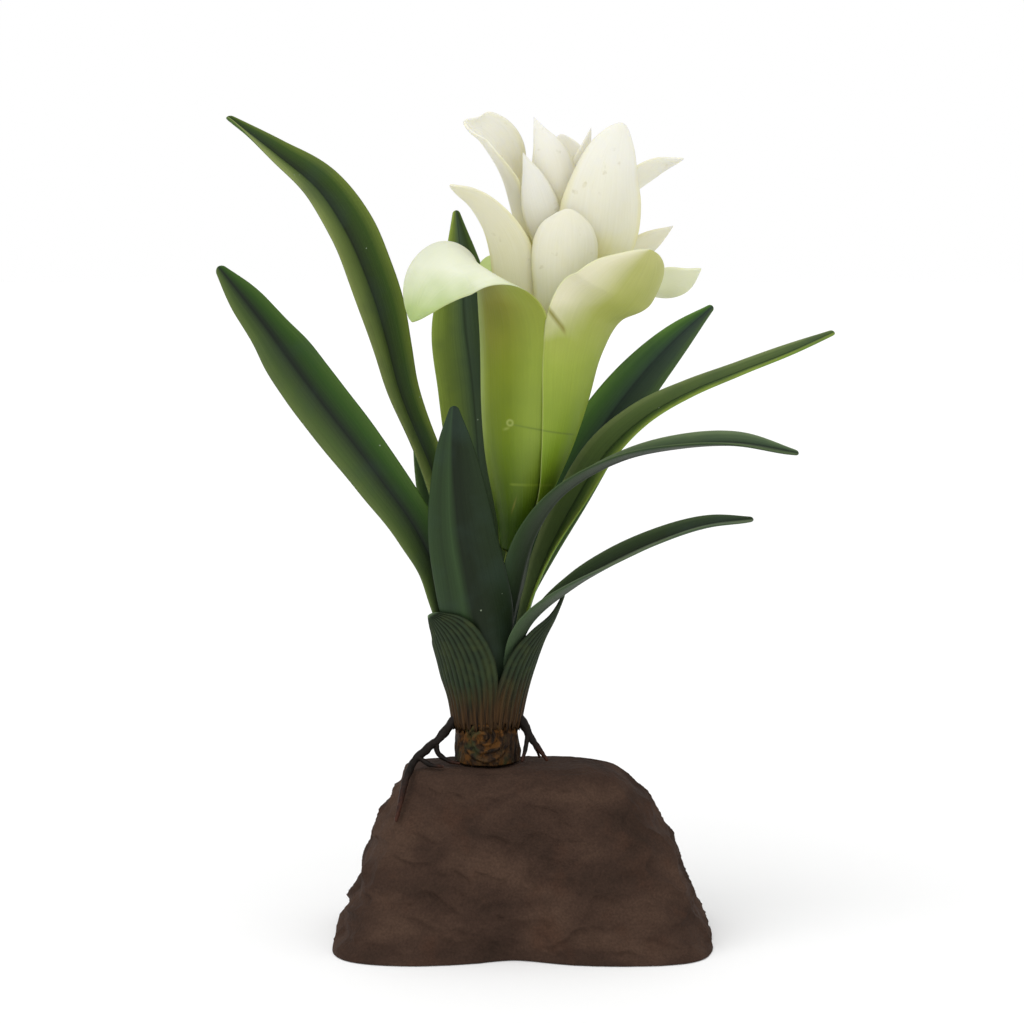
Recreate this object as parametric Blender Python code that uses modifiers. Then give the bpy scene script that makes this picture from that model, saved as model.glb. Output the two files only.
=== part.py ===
"""A white-flowered bromeliad growing on a block of brown rock, with its roots over the rock's edge.

Every leaf and bract is a thin blade: an open grid bent along a curved midrib, then given its thickness.
All sizes are written in millimetres and turned into metres by MM. The origin is on the underside of
the rock, +Z is up, and the front of the plant looks along -Y.
"""

import math

import bmesh
import bpy
import numpy as np

MM = 0.001
GAP = 0.3  # clear space between pieces that touch
WELD = 1e-6  # metres: vertices closer than this are one
CURVE_SAMPLES = 400  # points at which a curve's length is measured

ROCK_HEIGHT = 53.6
ROCK_FOOT_SQUARENESS = 5.0  # 2 would make its outline an ellipse
ROCK_TOP_SQUARENESS = 2.8
ROCK_RINGS = 16
ROCK_SEGMENTS = 44
STUB_SEGMENTS = 24
STALK_SEGMENTS = 12
STUB_AXIS_X = -10.6
STUB_TOP = 74.5
STUB_AXIS = np.array([[STUB_AXIS_X, 0, 0], [STUB_AXIS_X, 0, 100]])

LEAF_THICKNESS = 1.0
BRACT_THICKNESS = 0.8
SHEATH_THICKNESS = 0.9

# How many faces a blade has along it and across it.
LEAF_GRID = (14, 6)
OUTER_BRACT_GRID = (15, 10)
INNER_BRACT_GRID = (9, 6)
SHEATH_GRID = (7, 10)
FOLD_SOFTNESS = 0.03  # 0 would make the fold at the midrib a sharp V
BLUNT_END = 0.995  # share of its length at which a rounded blade ends, so that its end has some width

FRONT = np.array([0.0, -1.0, 0.0])

# The flower's axis leans to the right as it rises from the stub: rows of (x, y, z).
FLOWER_AXIS = np.array([[-10.6, 0, 75], [-3.0, 0, 117], [3.3, 0, 163], [7.4, 0, 193], [14.1, 0, 243]])

# Turned pieces, from top to bottom: rows of (height, radius).
STALK = [
    (214, 0.8),
    (208, 1.6),
    (200, 2.6),
    (188, 3.4),
    (170, 3.4),
    (150, 2.8),
    (130, 2.2),
    (118, 1.9),
    (100, 2.3),
    (STUB_TOP + GAP, 2.5),
]
STUB = [(STUB_TOP, 8.4), (STUB_TOP - 1.2, 9.2), (68, 9.3), (62, 9.3), (57, 9.9), (ROCK_HEIGHT + GAP, 9.6)]

# The outer bracts close into a trumpet round that axis: rows of (height, radius).
TRUMPET = [(118, 3.4), (124, 4.6), (133, 7.6), (148, 12.6), (163, 15.8), (178, 18.0)]

# A blade's rows run from its base to its tip. Each is a point of the midrib (x, y, z), the half width
# there, the turn of its upper face away from the front in degrees, and the cup of its cross-section in
# degrees from the middle to one edge. Fold is the V at the midrib.
LEAVES = {
    "leaf_left_tall": dict(
        fold=32,
        rows=[
            (-15.8, 1.0, 76, 3.4, 100, 20),
            (-16.4, 2.8, 93, 4.2, 82, 12),
            (-20.0, 5.5, 114, 5.2, 45, 5),
            (-26.0, 9.0, 137, 5.0, 30, 0),
            (-37.8, 13.0, 167, 6.4, 34, 0),
            (-40.6, 14.2, 178, 7.4, 32, 0),
            (-44.0, 15.8, 190, 8.6, 30, 0),
            (-47.6, 17.2, 200, 9.0, 28, 0),
            (-53.4, 19.0, 213, 9.2, 32, 0),
            (-61.6, 21.0, 225.4, 7.9, 36, 0),
            (-74.4, 22.0, 236.0, 5.6, 50, 0),
            (-89.7, 24.0, 247.4, 1.4, 65, 0),
        ],
    ),
    "leaf_left_low": dict(
        fold=20,
        rows=[
            (-17.8, -3.0, 76, 2.8, 75, 25),
            (-19.2, -3.8, 94, 3.8, 65, 12),
            (-21.8, -4.8, 104, 4.8, 50, 8),
            (-25.6, -5.5, 112.4, 5.8, 26, 4),
            (-31.2, -7.0, 124, 6.9, 12, 0),
            (-43.0, -10.0, 141.8, 7.9, 6, 0),
            (-63.4, -14.0, 169.4, 8.5, 6, 0),
            (-69.0, -15.0, 177.4, 8.2, 7, 0),
            (-73.6, -16.0, 184.0, 6.6, 8, 0),
            (-81.1, -18.0, 194, 4.9, 12, 0),
            (-88.3, -20.0, 203.4, 1.3, 15, 0),
        ],
    ),
    "leaf_front": dict(
        fold=14,
        rows=[
            (-10.9, -8.2, 76, 3.0, 175, 25),
            (-12.2, -11.6, 86, 7.0, 180, 38),
            (-13.0, -14.4, 97, 12.0, 182, 42),
            (-14.8, -17.4, 110, 11.8, 184, 20),
            (-17.4, -19.2, 125, 10.6, 186, 8),
            (-18.9, -20.2, 140, 8.1, 186, 3),
            (-19.6, -20.6, 153, 4.9, 186, 0),
            (-19.9, -20.6, 163.0, 1.1, 186, 0),
        ],
    ),
    "leaf_right_low": dict(
        fold=20,
        rows=[
            (-4.2, -5.6, 76, 2.4, -140, 25),
            (-2.2, -8.4, 86, 3.8, -132, 12),
            (1.4, -12.0, 96.4, 6.4, -108, 0),
            (15.6, -16.0, 109.8, 8.0, -88, 0),
            (25.8, -18.0, 116.2, 7.8, -80, 0),
            (40.4, -20.0, 123.4, 6.2, -76, 0),
            (54.9, -21.0, 128.2, 4.0, -72, 0),
            (67.6, -22.0, 129.8, 0.9, -60, 0),
        ],
    ),
    "leaf_right_middle": dict(
        fold=20,
        rows=[
            (-5.4, -1.4, 76, 3.0, -110, 30),
            (-4.2, -4.0, 92, 4.6, -118, 15),
            (-1.2, -6.4, 108, 7.0, -124, 5),
            (3.4, -8.4, 123.6, 8.0, -112, 0),
            (9.6, -9.8, 133.8, 7.6, -102, 0),
            (28.9, -11.0, 146.4, 6.6, -92, 0),
            (46.5, -12.0, 150.4, 6.2, -80, 0),
            (64.2, -12.0, 151.2, 5.4, -72, 0),
            (81.6, -12.0, 148.2, 0.9, -60, 0),
        ],
    ),
    "leaf_right_long": dict(
        fold=24,
        rows=[
            (-2.4, 1.6, 76, 2.4, -75, 25),
            (-1.2, 3.2, 86, 3.2, -72, 15),
            (0.8, 5.2, 96, 3.2, -68, 10),
            (7.0, 7.6, 114, 5.2, -58, 4),
            (16.2, 9.8, 131.8, 7.2, -52, 0),
            (25.8, 11.6, 146.4, 7.4, -52, 0),
            (36.6, 13.4, 156.2, 6.4, -56, 0),
            (51.6, 15.4, 164.6, 5.2, -62, 0),
            (66.6, 16.6, 170.6, 4.4, -65, 0),
            (81.8, 17.6, 176.5, 3.2, -60, 0),
            (95.2, 18.6, 182.4, 1.1, -55, 0),
        ],
    ),
    "leaf_right_back": dict(
        fold=14,
        rows=[
            (-6.8, 7.6, 76, 2.4, -30, 25),
            (-5.0, 9.8, 86, 2.8, -30, 18),
            (-2.2, 12.6, 96, 3.8, -26, 12),
            (4.6, 18.4, 116, 6.8, -14, 4),
            (13.6, 23.0, 134, 8.4, -8, 0),
            (24.3, 27.0, 152, 8.4, -8, 0),
            (36.8, 31.0, 168, 7.2, -8, 0),
            (49.4, 35.0, 181, 4.4, -8, 0),
            (59.4, 38.0, 189.6, 0.9, -8, 0),
        ],
    ),
    "leaf_back": dict(
        fold=14,
        rows=[
            (-12.0, 5.4, 76, 2.8, 5, 40),
            (-12.2, 10.0, 86, 3.4, 5, 30),
            (-12.2, 14.6, 95, 5.4, 4, 18),
            (-12.4, 21.0, 119, 9.6, 4, 6),
            (-13.4, 26.0, 143, 10.4, 4, 2),
            (-15.2, 31.0, 164, 11.0, 4, 0),
            (-17.4, 35.0, 183, 10.8, 4, 0),
            (-18.5, 38.0, 201, 6.4, 4, 0),
            (-20.4, 40.0, 219.2, 0.9, 4, 0),
        ],
    ),
    "leaf_left_back": dict(
        fold=14,
        rows=[
            (-16.6, 5.4, 76, 2.2, 40, 25),
            (-18.4, 7.0, 86, 2.6, 34, 18),
            (-20.4, 9.6, 96, 3.6, 28, 12),
            (-23.0, 12.4, 110, 4.8, 22, 4),
            (-26.4, 17.0, 128, 5.4, 18, 0),
            (-29.4, 21.0, 145, 4.2, 15, 0),
            (-32.3, 24.0, 160, 0.9, 15, 0),
        ],
    ),
}

# An outer bract's rows start on the trumpet, at its azimuth and over its spread to each side, both in
# degrees, and go on with the rows of its flared end. Round is the bluntness of its end.
OUTER_BRACTS = {
    "bract_outer_left": dict(
        azimuth=218,
        spread=55,
        round=8,
        rows=[
            (-9.4, -13.4, 190, 18.5, 122, 50),
            (-13.2, -16.0, 200, 17.0, 92, 20),
            (-20.0, -18.8, 204.5, 15.5, 56, -16),
            (-27.0, -20.8, 199, 12.8, 43, -20),
            (-31.8, -22.5, 187.5, 4.8, 40, -16),
        ],
    ),
    "bract_outer_right": dict(
        azimuth=318,
        spread=43,
        round=8,
        rows=[
            (22.0, -14.0, 188, 17.5, -132, 40),
            (28.6, -18.0, 196, 18.5, -137, 36),
            (34.6, -21.6, 202.5, 13.5, -142, 28),
            (38.4, -24.0, 205.5, 4.0, -145, 10),
        ],
    ),
    "bract_outer_back_right": dict(
        azimuth=37,
        spread=35,
        round=5,
        rows=[
            (24.6, 14.0, 187, 12.2, -60, 26),
            (32.6, 17.0, 193.4, 11.0, -82, 12),
            (42.4, 16.0, 197.4, 8.6, -118, 2),
            (54.2, 13.0, 202.4, 1.4, -134, 0),
        ],
    ),
    "bract_outer_back_left": dict(
        azimuth=117,
        spread=43,
        round=8,
        rows=[
            (-2.6, 19.4, 190, 15.2, 32, 30),
            (-6.2, 24.6, 199, 13.8, 34, 6),
            (-10.6, 30.0, 202, 10.2, 36, -14),
            (-14.6, 34.6, 198, 3.0, 38, -14),
        ],
    ),
}

INNER_BRACTS = {
    "bract_middle_left": dict(
        round=4,
        rows=[
            (-1.2, -4.6, 166, 3.6, 165, 32),
            (-1.8, -7.4, 178, 5.4, 168, 32),
            (-2.0, -9.0, 195, 7.2, 168, 28),
            (-4.2, -10.2, 208.5, 6.9, 158, 24),
            (-8.6, -11.0, 216.9, 5.9, 142, 20),
            (-14.2, -11.8, 222.8, 5.2, 128, 15),
            (-19.0, -12.2, 225.6, 4.4, 118, 10),
            (-21.2, -12.4, 226.9, 2.8, 115, 8),
        ],
    ),
    "bract_middle_front": dict(
        round=5,
        rows=[
            (6.8, -8.0, 168, 3.4, 182, 38),
            (9.2, -12.0, 180, 6.4, 182, 42),
            (11.6, -15.0, 194, 9.2, 182, 46),
            (12.4, -16.2, 205, 10.8, 182, 46),
            (13.0, -15.6, 212.8, 10.2, 182, 40),
            (13.4, -14.6, 217.2, 8.4, 182, 34),
            (13.6, -13.8, 220.0, 5.6, 182, 30),
        ],
    ),
    "bract_middle_right": dict(
        round=3,
        rows=[
            (15.4, 2.2, 180, 3.6, -95, 38),
            (21.4, 4.2, 191, 6.0, -102, 36),
            (29.2, 6.0, 200.6, 7.4, -114, 30),
            (36.0, 7.6, 207.4, 7.2, -126, 24),
            (41.4, 8.6, 211.8, 4.6, -132, 14),
            (45.4, 9.2, 214.8, 0.9, -134, 8),
        ],
    ),
    "bract_middle_back": dict(
        round=4,
        rows=[
            (3.0, 8.2, 170, 4.6, 15, 38),
            (2.4, 11.6, 184, 7.6, 18, 40),
            (1.0, 14.6, 197, 9.0, 22, 34),
            (-2.0, 18.6, 208, 8.2, 26, 22),
            (-6.5, 23.5, 215, 6.0, 32, 10),
            (-12.5, 28.5, 217.5, 1.2, 36, 0),
        ],
    ),
    "bract_upper_right_front": dict(
        round=4,
        rows=[
            (12.0, -5.2, 190, 4.0, -150, 40),
            (18.0, -7.2, 200, 9.4, -158, 42),
            (23.2, -8.6, 211.5, 13.2, -165, 40),
            (24.2, -9.2, 220.6, 13.2, -167, 38),
            (25.6, -9.0, 231.5, 10.0, -168, 32),
            (27.6, -8.4, 239.4, 7.4, -168, 26),
            (29.4, -7.6, 245.0, 4.6, -168, 18),
        ],
    ),
    "bract_upper_right": dict(
        round=3,
        rows=[
            (13.6, 1.0, 194, 3.8, -85, 38),
            (21.4, 1.0, 206.6, 7.2, -92, 36),
            (27.6, 1.0, 217.8, 8.6, -102, 34),
            (33.2, 1.2, 226.4, 8.0, -114, 28),
            (39.8, 2.0, 231.8, 6.0, -124, 14),
            (48.2, 3.0, 234.8, 1.4, -130, 5),
        ],
    ),
    "bract_upper_left": dict(
        round=7,
        rows=[
            (-0.4, 1.6, 190, 3.6, 92, 38),
            (-2.0, 2.6, 206, 5.8, 95, 40),
            (-2.8, 1.6, 221, 6.4, 96, 36),
            (-3.6, -0.6, 231, 7.2, 90, 22),
            (-6.4, -3.4, 240, 7.4, 66, 2),
            (-11.8, -5.8, 244.2, 6.8, 46, -12),
            (-17.4, -7.4, 243.0, 3.6, 42, -14),
        ],
    ),
    "bract_upper_left_front": dict(
        round=3,
        rows=[
            (6.6, -4.8, 194, 3.6, 175, 38),
            (8.4, -6.6, 211, 6.0, 182, 40),
            (5.4, -7.4, 220.6, 6.2, 182, 38),
            (3.0, -7.2, 229, 4.2, 180, 30),
            (0.2, -6.8, 236.4, 0.9, 178, 20),
        ],
    ),
    "bract_upper_back": dict(
        round=3,
        rows=[
            (7.0, 6.8, 192, 3.6, 5, 40),
            (8.0, 10.2, 205, 7.0, 5, 42),
            (9.4, 12.6, 218, 8.4, 2, 36),
            (11.0, 15.0, 230, 6.5, 0, 26),
            (14.0, 18.0, 240, 1.0, -5, 12),
        ],
    ),
    "bract_inner_left": dict(
        round=3,
        rows=[
            (9.6, -3.0, 206, 2.6, 185, 36),
            (10.6, -3.6, 218, 5.8, 185, 42),
            (9.8, -3.8, 229, 7.4, 185, 40),
            (7.6, -3.6, 237.5, 5.6, 185, 34),
            (5.2, -3.4, 242.6, 3.0, 185, 26),
            (3.4, -3.2, 246.8, 0.8, 185, 20),
        ],
    ),
    "bract_inner_right": dict(
        round=3,
        rows=[
            (13.2, 1.8, 208, 2.4, -110, 36),
            (16.4, 2.4, 221, 5.4, -125, 44),
            (18.0, 2.4, 232, 5.0, -135, 40),
            (19.2, 2.2, 238.5, 2.6, -135, 30),
            (20.4, 2.0, 243.8, 0.8, -135, 20),
        ],
    ),
    "bract_inner_back": dict(
        round=3,
        rows=[
            (8.0, 2.8, 208, 2.6, 20, 36),
            (8.8, 4.6, 220, 5.6, 18, 44),
            (9.4, 5.6, 231, 5.8, 16, 40),
            (9.6, 5.8, 238, 4.6, 14, 30),
            (9.4, 5.8, 242, 2.0, 12, 20),
        ],
    ),
}

# The sheaths are the ribbed bases of old leaves, cut short, round the stub's neck: rows of (height,
# distance from the stub's axis, half width, azimuth).
SHEATHS = {
    "sheath_left": [
        (68, 10.6, 11.6, 225),
        (73, 11.3, 12.4, 225),
        (79, 13.1, 14.0, 225),
        (86, 14.8, 14.6, 222),
        (93, 16.8, 13.4, 216),
        (97, 17.8, 11.0, 211),
        (99, 18.4, 9.5, 209),
    ],
    "sheath_right": [
        (68, 10.6, 8.0, 337),
        (73, 11.9, 9.0, 337),
        (79, 13.3, 9.8, 337),
        (85, 15.2, 10.4, 338),
        (91, 17.3, 9.4, 342),
        (98, 20.4, 5.6, 350),
        (105, 23.2, 0.9, 356),
    ],
    "sheath_back": [
        (68, 10.6, 11.6, 91),
        (76, 12.2, 12.6, 91),
        (86, 15.4, 11.5, 91),
        (94, 19.0, 6.0, 91),
        (99, 21.0, 1.2, 91),
    ],
}

# The rock's reach from its middle at each height, to the left, the right, the front and the back.
ROCK_HEIGHTS = [0, 8.6, 18.5, 30.6, 42.7, 48.7, 51.7, ROCK_HEIGHT]
ROCK_REACH = {
    180: [57.5, 55.0, 48.8, 45.0, 40.2, 37.4, 35.4, 33.0],
    0: [57.6, 54.6, 50.0, 45.9, 39.4, 32.4, 28.6, 24.0],
    270: [38.5, 36.0, 33.0, 29.0, 24.0, 20.5, 18.0, 15.0],
    90: [35.0, 33.0, 30.0, 27.0, 22.0, 18.5, 15.5, 11.0],
}
ROCK_BAY = 8.5  # how far the front of its foot steps back, at this direction and over this width
ROCK_BAY_DIRECTION = math.radians(-94)
ROCK_BAY_WIDTH = math.radians(17)

# A root's branches are rows of (x, y, z, radius). Each branch after the first grows from an earlier one.
ROOTS = {
    "root_left": [
        [
            (-21.0, -3.0, 66.6, 1.6),
            (-24.7, -5.0, 61.8, 1.3),
            (-29.1, -7.0, 58.0, 1.2),
            (-31.9, -9.2, 55.9, 1.1),
            (-35.4, -12.6, 52.4, 1.0),
            (-37.6, -16.6, 46.8, 0.8),
            (-39.2, -20.2, 41.0, 0.6),
        ],
        [(-26.0, -5.6, 60.8, 0.9), (-25.2, -6.2, 57.4, 0.7), (-22.4, -7.0, 55.4, 0.6)],
    ],
    "root_right": [
        [(-0.1, -2.0, 66.6, 1.4), (2.4, -3.0, 61.8, 1.2), (5.0, -4.0, 58.4, 0.8), (7.6, -5.0, 55.4, 0.6)],
        [(2.0, -2.9, 62.4, 0.9), (1.0, -5.0, 58.4, 0.7), (0.2, -6.2, 55.4, 0.6)],
        [(2.6, -3.1, 61.4, 0.8), (4.0, -1.2, 58.4, 0.6), (5.2, 0.4, 55.4, 0.6)],
    ],
}


def hermite(rows, count):
    """The rows joined by a smooth curve and read at count places that are evenly spaced along it."""
    rows = np.array(rows, float)
    knots = np.concatenate([[0], np.cumsum(np.linalg.norm(np.diff(rows[:, :3], axis=0), axis=1))])
    slopes = np.gradient(rows, knots, axis=0)

    def curve(at):
        k = np.clip(np.searchsorted(knots, at) - 1, 0, len(rows) - 2)
        span = (knots[k + 1] - knots[k])[:, None]
        t = (at - knots[k])[:, None] / span
        return (
            (1 + 2 * t) * (1 - t) ** 2 * rows[k]
            + t * (1 - t) ** 2 * span * slopes[k]
            + t * t * (3 - 2 * t) * rows[k + 1]
            + t * t * (t - 1) * span * slopes[k + 1]
        )

    fine = np.linspace(0, knots[-1], CURVE_SAMPLES)
    points = curve(fine)[:, :3]
    length = np.concatenate([[0], np.cumsum(np.linalg.norm(np.diff(points, axis=0), axis=1))])
    return curve(np.interp(np.linspace(0, length[-1], count), length, fine))


def blade_surface(rows, along, across, fold=0.0, blunt=0.0):
    """The points of a blade's middle surface as an array (along + 1, across + 1, 3), in millimetres.

    The cross-section starts flat at the midrib, folds by fold degrees close to it, and cups evenly
    towards the edges. Blunt rounds the end off, the more so the higher it is.
    """
    stations = hermite(rows, along + 1)
    spine, half_width, turn, cup = np.split(stations, [3, 4, 5], axis=1)
    if blunt:
        share = np.linspace(0, BLUNT_END, along + 1)[:, None]
        half_width = half_width * (1 - share ** (2 * blunt)) ** 0.5
    tangent = np.gradient(spine, axis=0)
    tangent /= np.linalg.norm(tangent, axis=1, keepdims=True)
    facing = FRONT - (tangent @ FRONT)[:, None] * tangent
    facing /= np.linalg.norm(facing, axis=1, keepdims=True)
    aside = np.cross(tangent, facing)
    turn = np.radians(turn)
    upper = np.cos(turn) * facing + np.sin(turn) * aside
    right = np.cos(turn) * aside - np.sin(turn) * facing

    v = np.linspace(-1, 1, across + 1)
    lean = math.radians(fold) * v / np.sqrt(v * v + FOLD_SOFTNESS) + np.radians(cup) * v
    middle = (lean[:, 1:] + lean[:, :-1]) / 2
    step = half_width * (2 / across)
    x = np.cumsum(np.hstack([np.zeros_like(step), np.cos(middle) * step]), axis=1)
    z = np.cumsum(np.hstack([np.zeros_like(step), np.sin(middle) * step]), axis=1)
    x -= x[:, across // 2][:, None]
    z -= z[:, across // 2][:, None]
    return spine[:, None] + x[..., None] * right[:, None] + z[..., None] * upper[:, None]


def add_mesh_object(name, bm, collection, material):
    mesh = bpy.data.meshes.new(name)
    bm.to_mesh(mesh)
    bm.free()
    mesh.shade_smooth()
    mesh.materials.append(material)
    obj = bpy.data.objects.new(name, mesh)
    collection.objects.link(obj)
    return obj


def add_blade(name, surface, thickness, collection, material):
    """A grid laid over the blade's middle surface, with its thickness from Solidify."""
    along, across = surface.shape[0] - 1, surface.shape[1] - 1
    bm = bmesh.new()
    bmesh.ops.create_grid(bm, x_segments=across, y_segments=along, size=1)
    for vert in bm.verts:
        j = round((vert.co.x + 1) / 2 * across)
        i = round((vert.co.y + 1) / 2 * along)
        vert.co = surface[i, j] * MM
    obj = add_mesh_object(name, bm, collection, material)
    solidify = obj.modifiers.new("thickness", "SOLIDIFY")
    solidify.thickness = thickness * MM
    solidify.offset = 0
    solidify.use_even_offset = False
    return obj


def make_material(name, colour, roughness):
    material = bpy.data.materials.new(name)
    material.use_nodes = True
    shader = material.node_tree.nodes["Principled BSDF"]
    shader.inputs["Base Color"].default_value = (*colour, 1)
    shader.inputs["Roughness"].default_value = roughness
    shader.inputs["Metallic"].default_value = 0.0
    return material


def sheath_surface(rows, along, across):
    """A strip bent to the round of its own distance from the stub's axis."""
    blade = []
    for height, distance, half_width, azimuth in rows:
        a = math.radians(azimuth)
        x = STUB_AXIS_X + distance * math.cos(a)
        y = distance * math.sin(a)
        blade.append((x, y, height, half_width, azimuth - 90, math.degrees(half_width / distance)))
    return blade_surface(blade, along, across)


def trumpet_rows(azimuth, spread):
    """Blade rows up the trumpet at this azimuth, as wide as the spread to each side."""
    a = math.radians(azimuth)
    turn = (azimuth - 90 + 180) % 360 - 180
    rows = []
    for height, radius in TRUMPET:
        middle = np.interp(height, FLOWER_AXIS[:, 2], FLOWER_AXIS[:, 0])
        x = middle + radius * math.cos(a)
        rows.append((x, radius * math.sin(a), height, radius * math.radians(spread), turn, spread))
    return rows


def rock_surface_point(direction, latitude):
    """A point of the rock. Latitude runs from 0 under its middle, over its side, to 1 on top of it."""
    rim = 2 / ROCK_RINGS
    side = min(1.0, max(0.0, (latitude - rim) / (1 - 2 * rim)))
    inward = min(latitude / rim, (1 - latitude) / rim, 1.0)
    height = ROCK_HEIGHT * side
    c, s = math.cos(direction), math.sin(direction)
    half_x = np.interp(height, ROCK_HEIGHTS, ROCK_REACH[0 if c > 0 else 180])
    half_y = np.interp(height, ROCK_HEIGHTS, ROCK_REACH[90 if s > 0 else 270])
    power = ROCK_FOOT_SQUARENESS + (ROCK_TOP_SQUARENESS - ROCK_FOOT_SQUARENESS) * side
    reach = (abs(c / half_x) ** power + abs(s / half_y) ** power) ** (-1 / power)
    aside = (direction - ROCK_BAY_DIRECTION) / ROCK_BAY_WIDTH
    reach -= ROCK_BAY * (1 - side) ** 2 * math.exp(-(aside**2))
    return (reach * inward * c, reach * inward * s, height)


def add_rock(collection, material):
    """A lumpy block with a flat foot and a flat top: a sphere's grid laid over the rock's surface."""
    bm = bmesh.new()
    bmesh.ops.create_uvsphere(bm, u_segments=ROCK_SEGMENTS, v_segments=ROCK_RINGS, radius=1)
    for vert in bm.verts:
        direction = math.atan2(vert.co.y, vert.co.x)
        latitude = 0.5 + math.asin(max(-1.0, min(1.0, vert.co.z))) / math.pi
        x, y, z = rock_surface_point(direction, latitude)
        vert.co = (x * MM, y * MM, z * MM)
    return add_mesh_object("rock", bm, collection, material)


def add_turned(name, profile, centres, segments, collection, material):
    """A closed turned body: profile is (height, radius) from its top to its bottom, and centres give
    the axis at each height."""
    bm = bmesh.new()
    bmesh.ops.create_uvsphere(bm, u_segments=segments, v_segments=len(profile) + 1, radius=1)
    heights = [p[0] for p in profile]
    for vert in bm.verts:
        from_top = math.acos(max(-1.0, min(1.0, vert.co.z))) / math.pi
        ring = round(from_top * (len(profile) + 1))
        if ring in (0, len(profile) + 1):
            height, radius = heights[0 if ring == 0 else -1], 0.0
        else:
            height, radius = profile[ring - 1]
        direction = math.atan2(vert.co.y, vert.co.x)
        x = np.interp(height, centres[:, 2], centres[:, 0])
        y = np.interp(height, centres[:, 2], centres[:, 1])
        vert.co = (
            (x + radius * math.cos(direction)) * MM,
            (y + radius * math.sin(direction)) * MM,
            height * MM,
        )
    return add_mesh_object(name, bm, collection, material)


def add_tube(name, rows, collection, material):
    """A closed tapering tube through these points, as a mesh with its caps welded on."""
    curve = bpy.data.curves.new(name, "CURVE")
    curve.dimensions = "3D"
    curve.bevel_depth = MM
    curve.bevel_resolution = 1
    curve.use_fill_caps = True
    points = hermite(rows, 3 * len(rows) - 2)
    spline = curve.splines.new("POLY")
    spline.points.add(len(points) - 1)
    for point, (x, y, z, radius) in zip(spline.points, points):
        point.co = (x * MM, y * MM, z * MM, 1)
        point.radius = radius
    tube = bpy.data.objects.new(name, curve)
    collection.objects.link(tube)
    graph = bpy.context.evaluated_depsgraph_get()
    mesh = bpy.data.meshes.new_from_object(tube.evaluated_get(graph))
    bpy.data.objects.remove(tube)
    bm = bmesh.new()
    bm.from_mesh(mesh)
    bpy.data.meshes.remove(mesh)
    bmesh.ops.remove_doubles(bm, verts=bm.verts, dist=WELD)
    return add_mesh_object(name, bm, collection, material)


def add_root(name, branches, collection, branch_collection, material):
    """The first branch, joined with the branches that grow from it."""
    root = add_tube(name, branches[0], collection, material)
    for i, rows in enumerate(branches[1:]):
        branch = add_tube(f"{name}_branch_{i + 1}", rows, branch_collection, material)
        branch.hide_render = True
        branch.display_type = "WIRE"
        join = root.modifiers.new("join", "BOOLEAN")
        join.operation = "UNION"
        join.object = branch
    return root


def main():
    for obj in list(bpy.data.objects):
        bpy.data.objects.remove(obj)
    plant = bpy.data.collections.new("bromeliad_on_rock")
    bpy.context.scene.collection.children.link(plant)
    helpers = bpy.data.collections.new("root_branches")
    bpy.context.scene.collection.children.link(helpers)

    leaf_green = make_material("leaf_green", (0.03, 0.07, 0.02), 0.4)
    bract_white = make_material("bract_white", (0.85, 0.82, 0.68), 0.5)
    bract_green = make_material("bract_green", (0.42, 0.50, 0.16), 0.5)
    sheath_green = make_material("sheath_green", (0.05, 0.07, 0.03), 0.6)
    bark_brown = make_material("bark_brown", (0.09, 0.05, 0.02), 0.8)
    root_brown = make_material("root_brown", (0.03, 0.02, 0.015), 0.7)
    rock_brown = make_material("rock_brown", (0.06, 0.035, 0.025), 0.9)

    add_rock(plant, rock_brown)
    add_turned("stub", STUB, STUB_AXIS, STUB_SEGMENTS, plant, bark_brown)
    add_turned("flower_stalk", STALK, FLOWER_AXIS, STALK_SEGMENTS, plant, bract_green)
    for name, rows in SHEATHS.items():
        add_blade(name, sheath_surface(rows, *SHEATH_GRID), SHEATH_THICKNESS, plant, sheath_green)
    for name, leaf in LEAVES.items():
        surface = blade_surface(leaf["rows"], *LEAF_GRID, fold=leaf["fold"])
        add_blade(name, surface, LEAF_THICKNESS, plant, leaf_green)
    for name, bract in OUTER_BRACTS.items():
        rows = trumpet_rows(bract["azimuth"], bract["spread"]) + bract["rows"]
        surface = blade_surface(rows, *OUTER_BRACT_GRID, blunt=bract["round"])
        add_blade(name, surface, BRACT_THICKNESS, plant, bract_green)
    for name, bract in INNER_BRACTS.items():
        surface = blade_surface(bract["rows"], *INNER_BRACT_GRID, blunt=bract["round"])
        add_blade(name, surface, BRACT_THICKNESS, plant, bract_white)
    for name, branches in ROOTS.items():
        add_root(name, branches, plant, helpers, root_brown)


main()
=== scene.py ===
"""The looks of a white-flowered bromeliad growing on a block of brown rock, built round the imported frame.

Shapes are worked out in millimetres and turned into metres as their mesh is made. The origin is on
the underside of the rock, +Z is up, and the front of the plant looks along -Y.
"""

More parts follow.
